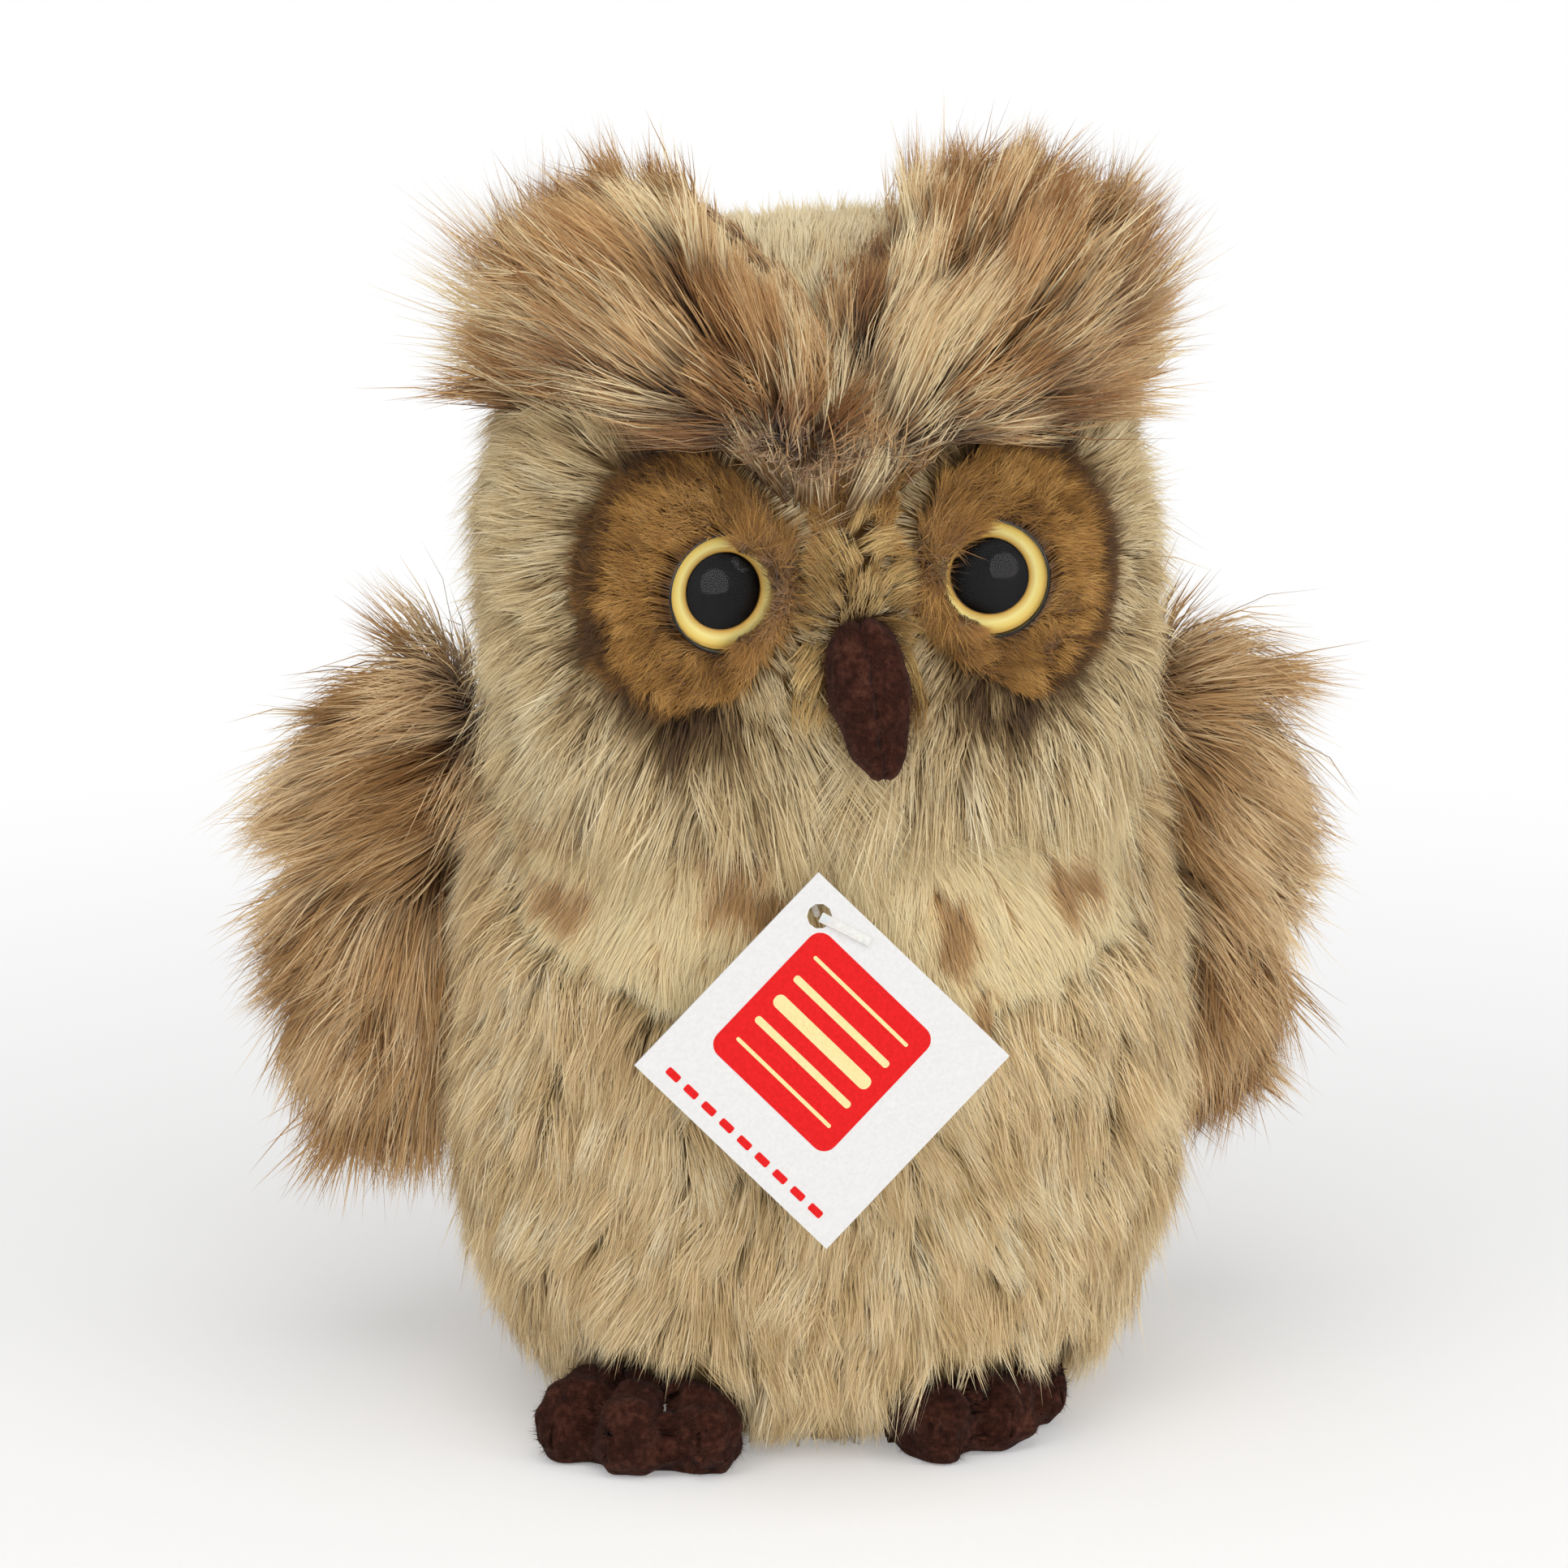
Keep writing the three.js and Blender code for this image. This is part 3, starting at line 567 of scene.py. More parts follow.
BROWN_FELT = FeltFinish()
FUZZ_FINISH = PileFinish(
    "felt_fuzz",
    roots=((0.0, (32, 14, 9)), (1.0, (56, 30, 22))),
    tips=((0.0, (54, 28, 20)), (1.0, (112, 72, 56))),
    sheen=0.03, gloss=0.04,
)
FIBRE = GrainFinish(
    "polyester_fibre", ((0.3, (222, 220, 214)), (0.7, (250, 249, 246))), (320, 5), 0.95,
    relief=(0.8, 0.0012), sheen=0.2, level=0.15,
)
PELLET_CLOTH = replace(
    FIBRE, name="pellet_bag_cloth", stops=((0.35, (214, 208, 192)), (0.65, (236, 231, 218))),
    grain=(1400, 5), relief=(0.8, 0.0003),
)
BLACK_PLASTIC = GrainFinish(
    "black_eye_plastic", ((0.3, (8, 8, 11)), (0.7, (14, 14, 18))), (1500, 2), 0.12, ior=1.45
)
PUPIL_PLASTIC = replace(
    BLACK_PLASTIC, name="dull_black_plastic", stops=((0.3, (6, 6, 8)), (0.7, (11, 11, 14))),
    roughness=0.5, level=0.1,
)
CLEAR_PLASTIC = replace(
    BLACK_PLASTIC, name="clear_lens_plastic", stops=((0.0, (252, 252, 252)), (1.0, (255, 255, 255))),
    roughness=0.01, clear=1, ior=1.16, level=0.1,
)
WHITE_NYLON = replace(
    BLACK_PLASTIC, name="white_nylon", stops=((0.3, (226, 224, 219)), (0.7, (240, 239, 236))),
    roughness=0.35, glow_in=0.3,
)
WHITE_CARD = GrainFinish(
    "white_card", ((0.3, (234, 232, 230)), (0.7, (241, 240, 239))), (1800, 4), 0.55,
    relief=(0.1, 0.00005), level=0.12,
)
RED_INK = replace(WHITE_CARD, name="red_ink", stops=((0.3, (226, 24, 26)), (0.7, (240, 32, 32))))
CREAM_INK = replace(WHITE_CARD, name="cream_ink", stops=((0.3, (246, 226, 158)), (0.7, (252, 236, 176))))


@dataclass(frozen=True)
class Pile:
    """How a pile stands. Lengths are metres and angles degrees."""

    length: float
    density: float  # strands on a square millimetre
    width: float
    lift: float  # how steeply the strands rise from the skin
    sink: float  # how deep under the closed pile their roots lie
    wisp: float = 0.002  # from one wisp to the next
    lock: float = 0.006  # from one lock to the next
    wisp_gather: float = 0.55  # how far the tips of a wisp draw together
    lock_gather: float = 0.35
    lock_turn: float = 10
    waver: float = 14
    waver_pitch: float = 0.03
    scatter: float = 0.06  # of the length, sideways at the tip
    spread: float = 0.14  # of the length, from strand to strand
    tone_spread: float = 0.16
    droop: float = 0.0  # of the length, at the tip
    free_share: float = 0.05  # of the strands, which stand clear of their wisps
    ripple: float = 0.0  # how far the waves of a long pile change its lift
    segments: int = 2


ROOT_WIDTH_SHARE = 0.8  # of a strand's width, at its root
HALF_WIDTHS = (0.35, 0.65)  # of the pile's width, from the thinnest strand to the widest
STEEP_SHARE = 1.6  # of the rise, near the root
LEAN_SHARE = 0.35  # of the run, near the root
LIFT_SPREAD = 0.2  # of the lift, from strand to strand
GATHER_POWER = 1.3  # by which a wisp draws together more and more towards its tips
ROLL_SPREAD = 0.5  # radians
FREE_LIFT = 1.6  # how much steeper a free strand stands
FREE_HOLD = 0.15  # of the gathering, that a free strand keeps
RIPPLE_LENGTH = 0.08  # of the length, between the highs and lows of a long pile's waves
RIPPLE_TONE = 0.16
LOCK_TONE, WISP_TONE, STRAND_TONE = 0.55, 0.6, 0.4  # of the spread in tone, that each of them brings
TONE_LIMITS = (0.01, 0.99)
MAP_HALF_WIDTH = 0.004  # of a strand, across the map
LENGTH_LIMITS = (0.4, 1.45)  # of the pile's length


@dataclass
class Roots:
    """Where the strands of one panel start, on the closed surface of the pile."""

    places: Array
    normals: Array

    def thinned(self, count: int, chance: np.random.Generator) -> "Roots":
        """Returns some of the roots, picked at random."""
        if count >= len(self.places):
            return self
        chosen = chance.permutation(len(self.places))[:count]
        return Roots(self.places[chosen], self.normals[chosen])

    def with_more(self, more: "Roots") -> "Roots":
        """Returns these roots and some more."""
        places = np.concatenate([self.places, more.places])
        return Roots(places, np.concatenate([self.normals, more.normals]))

    def only(self, mask: Array) -> "Roots":
        """Returns the roots where the mask is true."""
        return Roots(self.places[mask], self.normals[mask])


def chance_of(count: int) -> Array:
    """Returns this many even random values from 0 to 1."""
    return np.random.default_rng(count).random(count)


def nearest_of(places: Array, centres: Array) -> Array:
    """Returns, for each place, the row in places of its nearest centre.

    Args:
        places: Points.
        centres: Rows in places that are centres.
    """
    tree = KDTree(len(centres))
    for row, place in zip(centres.tolist(), places[centres].tolist()):
        tree.insert(place, row)
    tree.balance()
    found = (tree.find(place)[1] for place in places.tolist())
    return np.fromiter(found, dtype=np.int64, count=len(places))


@dataclass
class Coat:
    """Grows the strands of one panel.

    Attributes:
        pile: How they stand.
        comb: Which way they lie.
        tone: How pale they are.
        seed: Picks every random draw.
        settle: What lays them over or under other pieces.
        keep: What says which of them stay.
        ruffle: The waves that a long pile lies in.
        shorten: How long they are, as a share of the pile's length.
    """

    pile: Pile
    comb: Comb
    tone: Tone
    seed: int
    settle: Settle | None = None
    keep: Keep | None = None
    ruffle: Tone | None = None
    shorten: Tone | None = None

    def paths(self, roots: Roots, chance: np.random.Generator) -> tuple[Array, Array]:
        """Works out how the strands run.

        Args:
            roots: Where they start.
            chance: The source of every random draw.

        Returns:
            Points by step, strand and axis, and the tone of each strand.
        """
        pile = self.pile
        count = len(roots.places)
        area = count / pile.density / SQUARE_MILLIMETRES
        wisp_rows = chance.choice(count, max(1, int(area / pile.wisp**2)), replace=False)
        wisps = nearest_of(roots.places, wisp_rows)
        lock_rows = chance.choice(wisp_rows, max(1, int(area / pile.lock**2)), replace=False)
        locks = nearest_of(roots.places, lock_rows)[wisps]
        lock_turns = chance.standard_normal(count)[locks]
        lock_sizes = chance.standard_normal(count)[locks]
        lock_tones = chance.standard_normal(count)[locks]
        wisp_tones = chance.standard_normal(count)[wisps]

        flow = along_skin(self.comb(roots.places, roots.normals), roots.normals)
        slow = slow_noise(roots.places, pile.waver_pitch, self.seed)
        angles = np.radians(pile.waver * slow + pile.lock_turn * lock_turns)
        flow = turned_about(flow, roots.normals, angles)
        sizes = 1 + pile.spread * (chance.standard_normal(count) + lock_sizes) / math.sqrt(2)
        sizes = np.clip(sizes, *LENGTH_LIMITS)
        waves = self.ruffle(roots.places) if self.ruffle else np.zeros(count)
        free = chance.random(count) < pile.free_share
        shares = self.shorten(roots.places) if self.shorten else np.ones(count)
        reach = (pile.length * shares * sizes * (1 + RIPPLE_LENGTH * waves))[:, None]
        steepness = 1 + LIFT_SPREAD * chance.standard_normal(count) + pile.ripple * waves
        lift = np.radians(pile.lift * steepness * np.where(free, FREE_LIFT, 1))[:, None]
        hold = np.where(free, FREE_HOLD, 1)[:, None]
        stray = chance.standard_normal((count, 3)) * pile.scatter * reach
        stray[:, 2] -= pile.droop * reach[:, 0]
        starts = roots.places - roots.normals * pile.sink

        steps = np.linspace(0, 1, pile.segments + 1)
        runs = []
        for step in steps:
            rise = np.sin(lift) * (STEEP_SHARE * step - (STEEP_SHARE - 1) * step**2)
            run = np.cos(lift) * (LEAN_SHARE * step + (1 - LEAN_SHARE) * step**2)
            straight = starts + reach * (roots.normals * rise + flow * run)
            drawn = step**GATHER_POWER
            to_wisp = pile.wisp_gather * drawn * (straight[wisps] - straight)
            to_lock = pile.lock_gather * drawn * (straight[locks] - straight[wisps])
            runs.append(straight + hold * (to_wisp + to_lock) + stray * step**2)
        strand_tones = chance.standard_normal(count)
        uneven = LOCK_TONE * lock_tones + WISP_TONE * wisp_tones + STRAND_TONE * strand_tones
        tones = self.tone(roots.places) + RIPPLE_TONE * waves + pile.tone_spread * uneven
        return np.stack(runs), np.clip(tones, *TONE_LIMITS)

    def grow(self, name: str, roots: Roots) -> list[bpy.types.Object]:
        """Grows the strands, in as many pieces from side to side as their triangles need.

        Args:
            name: The pieces' name.
            roots: Where the strands start.

        Returns:
            The strands' mesh objects.
        """
        chance = np.random.default_rng(self.seed)
        runs, tones = self.paths(roots, chance)
        normals = roots.normals
        if self.settle:
            runs = self.settle(runs)
        if self.keep:
            mask = self.keep(runs)
            runs, tones, normals = runs[:, mask], tones[mask], normals[mask]
        strand_triangles = 2 * self.pile.segments - 1
        parts = math.ceil(len(tones) * strand_triangles / PIECE_TRIANGLES)
        pieces = []
        for number, rows in enumerate(np.array_split(np.argsort(runs[0, :, 0]), parts), start=1):
            label = f"{name}_{number}" if parts > 1 else name
            mesh = ribbons(label, runs[:, rows], tones[rows], normals[rows], self.pile.width, chance)
            pieces.append(shown(label, mesh))
        return pieces

    def cover(
        self, form: "Form", node: str, roots: Roots, finish: PileFinish, slot: str, body: str
    ) -> None:
        """Grows a panel's strands and makes the backing that they stand in.

        Args:
            form: The form that the panel is part of.
            node: The panel's node.
            roots: Where the strands start.
            finish: Their dye.
            slot: Not used.
            body: What it rides on.
        """
        for piece in self.grow(f"{node}_pile", roots):
            dress(piece, finish.strands(), body)
        dress(form.backing(node, self.pile.sink), finish.backing(), body)


def ribbons(
    name: str, runs: Array, tones: Array, normals: Array, width: float, chance: np.random.Generator
) -> bpy.types.Mesh:
    """Makes a tapering ribbon along each strand.

    Args:
        name: The mesh's name.
        runs: Points by step, strand and axis.
        tones: One value from 0 to 1 for each strand.
        normals: The skin's normal at each root.
        width: The usual width.
        chance: The source of the random draws.

    Returns:
        The mesh, with the strands' map on it.
    """
    steps, count, _ = runs.shape
    half = width * chance.uniform(*HALF_WIDTHS, count)
    roll = chance.normal(0, ROLL_SPREAD, count)
    tangents = unit(np.gradient(runs, axis=0))
    rows = []
    for step in range(steps - 1):
        across = unit(np.cross(tangents[step], normals))
        across = turned_about(across, tangents[step], roll)
        wide = half[:, None] * (ROOT_WIDTH_SHARE if step == 0 else 1)
        rows += [runs[step] - across * wide, runs[step] + across * wide]
    rows.append(runs[-1])
    points = np.stack(rows, axis=1)
    per_strand = points.shape[1]

    corners: list[int] = []
    starts: list[int] = []
    for step in range(steps - 2):
        starts.append(len(corners))
        corners += [2 * step, 2 * step + 1, 2 * step + 3, 2 * step + 2]
    starts.append(len(corners))
    corners += [per_strand - 3, per_strand - 2, per_strand - 1]
    strand_corners = np.array(corners)
    loops = (np.arange(count)[:, None] * per_strand + strand_corners).ravel()
    face_starts = (np.arange(count)[:, None] * len(corners) + np.array(starts)).ravel()

    way = np.minimum(strand_corners // 2, steps - 1) / (steps - 1)
    side = np.where(strand_corners == per_strand - 1, 0, np.where(strand_corners % 2, 1, -1))
    across_map = tones[:, None] + side * MAP_HALF_WIDTH
    along_map = np.broadcast_to(way, across_map.shape)
    coordinates = np.stack([across_map, along_map], axis=-1)

    mesh = bpy.data.meshes.new(name)
    mesh.vertices.add(count * per_strand)
    mesh.vertices.foreach_set("co", points.astype(np.float32).ravel())
    mesh.loops.add(len(loops))
    mesh.loops.foreach_set("vertex_index", loops.astype(np.int32))
    mesh.polygons.add(len(face_starts))
    mesh.polygons.foreach_set("loop_start", face_starts.astype(np.int32))
    mesh.update(calc_edges=True)
    mesh.polygons.foreach_set("use_smooth", np.ones(len(face_starts), dtype=bool))
    layer = mesh.uv_layers.new(name=STRAND_MAP)
    layer.uv.foreach_set("vector", coordinates.astype(np.float32).ravel())
    return mesh


@dataclass
class Form:
    """The smooth outer form of some sewn pieces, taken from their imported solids.

    Attributes:
        name: The form's name.
        panels: The nodes that carry a pile.
        inner: The nodes behind them, which fill the form up.
        voxel: The size of its faces.
        smoothing: How many times its surface is evened out.
        closing: Half the width of the clefts that are filled up, as by a seam's stuffing.
    """

    name: str
    panels: tuple[str, ...]
    inner: tuple[str, ...] = ()
    voxel: float = 0.0025
    smoothing: int = 16
    closing: float = 0.0
    skin: bpy.types.Object = field(init=False)
    outer: Array = field(init=False)
    points: Array = field(init=False)
    normals: Array = field(init=False)
    triangles: Array = field(init=False)
    tree: BVHTree = field(init=False)

    def model(self) -> "Form":
        """Makes the form and returns it."""
        copies = [shown(f"{self.name}_{node}", node_mesh(node).copy()) for node in self.panels + self.inner]
        pick(*copies)
        bpy.ops.object.join()
        self.skin = bpy.context.view_layer.objects.active
        self.skin.name = self.name
        weld_doubles(self.skin)
        self.even_out()
        if self.closing:
            self.swell(self.closing)
            self.even_out()
            self.swell(-self.closing)
        smooth = self.skin.modifiers.new("even_surface", "SMOOTH")
        smooth.factor = 0.5
        smooth.iterations = self.smoothing
        apply_all(self.skin)
        bpy.ops.object.shade_smooth()
        self.outer = mesh_points(self.skin.data)
        self.refresh()
        return self

    def even_out(self) -> None:
        """Adds a step that makes the skin anew from even faces."""
        remesh = self.skin.modifiers.new("even_faces", "REMESH")
        remesh.mode = "VOXEL"
        remesh.voxel_size = self.voxel

    def swell(self, distance: float) -> None:
        """Adds a step that moves the skin outwards."""
        swelling = self.skin.modifiers.new("swelling", "DISPLACE")
        swelling.mid_level = 0
        swelling.strength = distance

    def draw_in(self, source: Array, share: float) -> None:
        """Moves the skin in towards the point that a long pile streams from, so that it fills the form."""
        set_points(self.skin.data, self.outer + (source - self.outer) * share)
        self.refresh()

    def refresh(self) -> None:
        """Reads the surface again after its points have moved."""
        self.points = mesh_points(self.skin.data)
        self.normals = mesh_normals(self.skin.data)
        self.triangles = mesh_triangles(self.skin.data)
        self.tree = BVHTree.FromPolygons(self.points.tolist(), self.triangles.tolist())

    def owners(self, places: Array) -> Array:
        """Returns, for each place, the row of the nearest node in panels and then inner."""
        points: list[list[float]] = []
        faces: list[list[int]] = []
        rows: list[int] = []
        for row, node in enumerate(self.panels + self.inner):
            mesh = node_mesh(node)
            corners = mesh_triangles(mesh) + len(points)
            points += mesh_points(mesh).tolist()
            faces += corners.tolist()
            rows += [row] * len(corners)
        tree = BVHTree.FromPolygons(points, faces)
        found = (rows[tree.find_nearest(place)[2]] for place in places.tolist())
        return np.fromiter(found, dtype=np.int64, count=len(places))

    def roots(self, density: float, seed: int) -> dict[str, Roots]:
        """Spreads roots over the form at random.

        Args:
            density: Roots on a square millimetre.
            seed: Picks their places.

        Returns:
            The roots of each panel.
        """
        chance = np.random.default_rng(seed)
        corners = self.points[self.triangles]
        crosses = np.cross(corners[:, 1] - corners[:, 0], corners[:, 2] - corners[:, 0])
        areas = np.linalg.norm(crosses, axis=1) / 2
        count = int(areas.sum() * SQUARE_MILLIMETRES * density)
        faces = chance.choice(len(areas), count, p=areas / areas.sum())
        first, second = chance.random((2, count))
        over = first + second > 1
        first[over], second[over] = 1 - first[over], 1 - second[over]
        shares = np.stack([1 - first - second, first, second], axis=1)[:, :, None]
        places = (corners[faces] * shares).sum(axis=1)
        normals = unit((self.normals[self.triangles[faces]] * shares).sum(axis=1))
        owners = self.owners((self.outer[self.triangles[faces]] * shares).sum(axis=1))
        spread = Roots(places, normals)
        return {node: spread.only(owners == row) for row, node in enumerate(self.panels)}

    def backing(self, node: str, depth: float, thickness: float = 0.0012) -> bpy.types.Object:
        """Returns a panel's backing as a closed, padded piece under its pile.

        Args:
            node: The panel's node.
            depth: How deep it lies under the closed pile.
            thickness: Of the backing.

        Returns:
            The backing, which takes the node's place.
        """
        mesh = self.skin.data.copy()
        piece = shown(f"{node}_backing", mesh)
        set_points(mesh, self.outer)
        centres = np.empty(len(mesh.polygons) * 3)
        mesh.polygons.foreach_get("center", centres)
        set_points(mesh, self.points)
        others = self.owners(centres.reshape(-1, 3)) != self.panels.index(node)
        edit_faces(piece, others)
        bpy.ops.mesh.delete(type="FACE")
        bpy.ops.mesh.select_all(action="SELECT")
        bpy.ops.transform.shrink_fatten(value=-depth)
        bpy.ops.object.mode_set(mode="OBJECT")
        wall = piece.modifiers.new("wall", "SOLIDIFY")
        wall.thickness = thickness
        wall.offset = -1
        apply_all(piece)
        set_points(piece.data, on_floor(mesh_points(piece.data)))
        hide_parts(node)
        return piece

    def holds(self, places: Array, margin: float = 0.0) -> Array:
        """Returns which places lie inside the form, or nearer to it than the margin."""
        inside = np.zeros(len(places), dtype=bool)
        low, high = self.points.min(axis=0) - margin, self.points.max(axis=0) + margin
        near = np.flatnonzero(np.all((places > low) & (places < high), axis=1))
        for row, place in zip(near.tolist(), places[near].tolist()):
            hit, normal, _, _ = self.tree.find_nearest(place)
            inside[row] = (Vector(place) - hit).dot(normal) < margin
        return inside

    def misses(self, runs: Array, margin: float = 0.0) -> Array:
        """Returns which strands pass clear of the form once they have left their roots."""
        return ~np.any([self.holds(step, margin) for step in runs[1:]], axis=0)

    def drop(self) -> None:
        """Removes the form's own mesh once its pieces are made."""
        bpy.data.meshes.remove(self.skin.data)


def node_mesh(node: str) -> bpy.types.Mesh:
    """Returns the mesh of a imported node."""
    return bpy.data.objects[node].data


def weld_doubles(piece: bpy.types.Object) -> None:
    """Joins the loose triangles of a copied solid."""
    pick(piece)
    bpy.ops.object.mode_set(mode="EDIT")
    bpy.ops.mesh.select_all(action="SELECT")
    bpy.ops.mesh.remove_doubles(threshold=WELD_GAP)
    bpy.ops.object.mode_set(mode="OBJECT")


def edit_faces(piece: bpy.types.Object, mask: Array) -> None:
    """Enters edit mode with just these faces selected."""
    pick(piece)
    bpy.ops.object.mode_set(mode="EDIT")
    bpy.ops.mesh.select_mode(type="FACE")
    bpy.ops.mesh.select_all(action="DESELECT")
    bpy.ops.object.mode_set(mode="OBJECT")
    piece.data.polygons.foreach_set("select", mask)
    bpy.ops.object.mode_set(mode="EDIT")


def on_floor(runs: Array) -> Array:
    """Returns points or strands kept above the floor."""
    runs[..., 2] = np.maximum(runs[..., 2], FLOOR_GAP)
    return runs


@dataclass
class HangTag:
    """The folded card on its pin, with a plain print on its cover.

    The print is a red square with cream stripes across it, and a row of short red dashes along one edge.
    """

    block_side: float = 0.0245
    block_corner: float = 0.0022
    block_up: float = 0.0028  # above the middle of the card
    stripe_widths: tuple[float, ...] = (0.0006, 0.0012, 0.0022, 0.0012, 0.0006)
    stripe_round: float = 2.2  # how many times as wide as its corners' radius a stripe is
    stripe_pitch: float = 0.0042
    stripe_length: float = 0.0195
    dash_count: int = 9
    dash_pitch: float = 0.0037
    dash_size: Range = (0.0024, 0.0012)
    dash_corner: float = 0.0003
    dash_inset: float = 0.0030
    corner_steps: int = 6
    turn: float = -45  # degrees, from the card's own axes to its edges
    ink: float = 0.00003
    press_gap: float = 0.0004
    press_margin: float = 0.001  # how far beyond its edges the card presses the pile
    pin_bevel: float = 0.0002
    thread_radius: float = 0.0004
    thread_sides: int = 16
    paddle: Place = (0.0085, 0.0016, 0.0005)  # its length, width and thickness
    paddle_turn: float = -28

    def __post_init__(self) -> None:
        """Finds the card's frame from its packed leaves: X across, Y up the card and Z out of its cover."""
        points = mesh_points(node_mesh("tag_front_leaf"))
        middle = points.mean(axis=0)
        out = np.linalg.svd(points - middle)[2][2]
        out = out if out[1] < 0 else -out
        heights = (points - middle) @ out
        front = points[heights > heights.max() - self.ink]
        lowest, highest = front[front[:, 2].argmin()], front[front[:, 2].argmax()]
        up = unit(highest - lowest)
        across = np.cross(up, out)
        self.reach = float(np.linalg.norm(highest - lowest) / 2)
        self.centre = (highest + lowest) / 2
        self.axes = np.array([across, up, out])
        self.frame = Matrix.Translation(Vector(self.centre)) @ Matrix(self.axes.T.tolist()).to_4x4()
        back = mesh_points(node_mesh("tag_back_leaf"))
        self.rear = float(((back - self.centre) @ out).min())

    def settle(self, runs: Array) -> Array:
        """Returns strands pressed flat behind the card."""
        local = (runs - self.centre) @ self.axes.T
        within = np.abs(local[..., 0]) + np.abs(local[..., 1]) < self.reach + self.press_margin
        over = local[..., 2] - (self.rear - self.press_gap)
        return runs - np.where(within & (over > 0), over, 0)[..., None] * self.axes[2]

    def inlay(self, name: str, size: Range, place: Range, layer: int, corner: float) -> bpy.types.Object:
        """Makes one flat area of ink, with its sides along the card's edges.

        Args:
            name: Its name.
            size: Along the lower left edge of the card, and across it.
            place: Its middle in the same directions, from the middle of the card.
            layer: How many inks lie under it.
            corner: The radius of its corners.

        Returns:
            The inked area, in its place on the cover.
        """
        piece = added(bpy.ops.mesh.primitive_plane_add, name, size=1)
        piece.scale = (*size, 1)
        piece.location = (*place, self.ink * (layer + 0.5))
        seated(piece)
        bpy.ops.object.mode_set(mode="EDIT")
        bpy.ops.mesh.select_all(action="SELECT")
        bpy.ops.mesh.bevel(offset=corner, segments=self.corner_steps, affect="VERTICES")
        bpy.ops.mesh.extrude_region_move(TRANSFORM_OT_translate={"value": (0, 0, self.ink)})
        bpy.ops.mesh.select_all(action="SELECT")
        bpy.ops.mesh.normals_make_consistent(inside=False)
        bpy.ops.object.mode_set(mode="OBJECT")
        return seated(piece, self.frame @ Matrix.Rotation(math.radians(self.turn), 4, "Z"))

    def printed(self) -> None:
        """Prints the cover."""
        red, cream = RED_INK.material(), CREAM_INK.material()
        middle = (-self.block_up / math.sqrt(2), self.block_up / math.sqrt(2))
        side = (self.block_side, self.block_side)
        pieces = [(self.inlay("tag_print_block", side, middle, 0, self.block_corner), red)]
        first = -(len(self.stripe_widths) - 1) / 2
        for number, width in enumerate(self.stripe_widths):
            name, size = f"tag_print_stripe_{number + 1}", (self.stripe_length, width)
            place = (middle[0], middle[1] + (first + number) * self.stripe_pitch)
            pieces.append((self.inlay(name, size, place, 1, width / self.stripe_round), cream))
        edge = self.dash_inset - self.reach / math.sqrt(2)
        for number in range(self.dash_count):
            along = (number - (self.dash_count - 1) / 2) * self.dash_pitch
            name = f"tag_print_dash_{number + 1}"
            pieces.append((self.inlay(name, self.dash_size, (along, edge), 0, self.dash_corner), red))
        for piece, material in pieces:
            dress(piece, material, "tag_cover")

    def dress(self) -> None:
        """Finishes the leaves, prints the cover and rounds the pin."""
        card, nylon = WHITE_CARD.material(), WHITE_NYLON.material()
        for node in ("tag_back_leaf", "tag_front_leaf"):
            finish_node(node, card)
        finish_node("tag_pin_anchor", nylon)
        self.printed()
        pin = self.pin()
        dress(pin, nylon, "tag_cover")
        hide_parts("tag_pin_head")

    def pin(self) -> bpy.types.Object:
        """Makes the pin: a thread through the card's hole, with a flat paddle that lies on the cover."""
        local = (mesh_points(node_mesh("tag_pin_head")) - self.centre) @ self.axes.T
        middle, low = local.mean(axis=0), float(local[:, 2].min())
        length, width, thickness = self.paddle
        thread = blank("tag_pin", self.thread_radius, low, thickness, sides=self.thread_sides)
        seated(thread, Matrix.Translation((middle[0], middle[1], 0)))
        turn = math.radians(self.paddle_turn)
        reach = (length - width) / 2
        out = (reach * math.cos(turn), reach * math.sin(turn))
        paddle = added(bpy.ops.mesh.primitive_cube_add, "tag_pin_paddle", size=1)
        paddle.scale = self.paddle
        paddle.rotation_euler = (0, 0, turn)
        paddle.location = (middle[0] + out[0], middle[1] + out[1], thickness / 2 + self.ink)
        smoothed(seated(paddle), self.pin_bevel)
        pick(thread, paddle)
        bpy.ops.object.join()
        return seated(thread, self.frame)


@dataclass
class Stuffing:
    """The loose fibre inside, and the pellet bag in the base."""

    voxel: float = 0.003
    slack: float = 0.0004  # how far a filling keeps off its fabric
    fine_voxel: float = 0.0012  # for the beak and the feet

    def __post_init__(self) -> None:
        """Makes the materials."""
        self.fibre, self.cloth = FIBRE.material(), PELLET_CLOTH.material()

    def lump(
        self, node: str, body: str, voxel: float, source: Array | None = None, share: float = 0.0
    ) -> None:
        """Makes a filling as a soft lump that fills its piece.

        Args:
            node: The filling's node.
            body: What it rides on.
            voxel: The size of its faces.
            source: The point that its piece's backing is drawn in towards.
            share: How far it is drawn in.
        """
        form = Form(f"{node}_lump", (node,), voxel=voxel, smoothing=4).model()
        if source is not None:
            form.draw_in(source, share)
        piece = form.skin
        edit_faces(piece, np.ones(len(piece.data.polygons), dtype=bool))
        bpy.ops.transform.shrink_fatten(value=-self.slack)
        bpy.ops.object.mode_set(mode="OBJECT")
        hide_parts(node)
        bag = node == "pellet_bag"
        dress(piece, self.cloth if bag else self.fibre, body)

    def dress(self) -> None:
        """Fills the body, the head, the beak and the feet."""
        for node in ("body_filling", "head_filling", "pellet_bag"):
            self.lump(node, "body", self.voxel)
        for node in ("beak_filling", "left_foot_filling", "right_foot_filling"):
            self.lump(node, "body", self.fine_voxel)


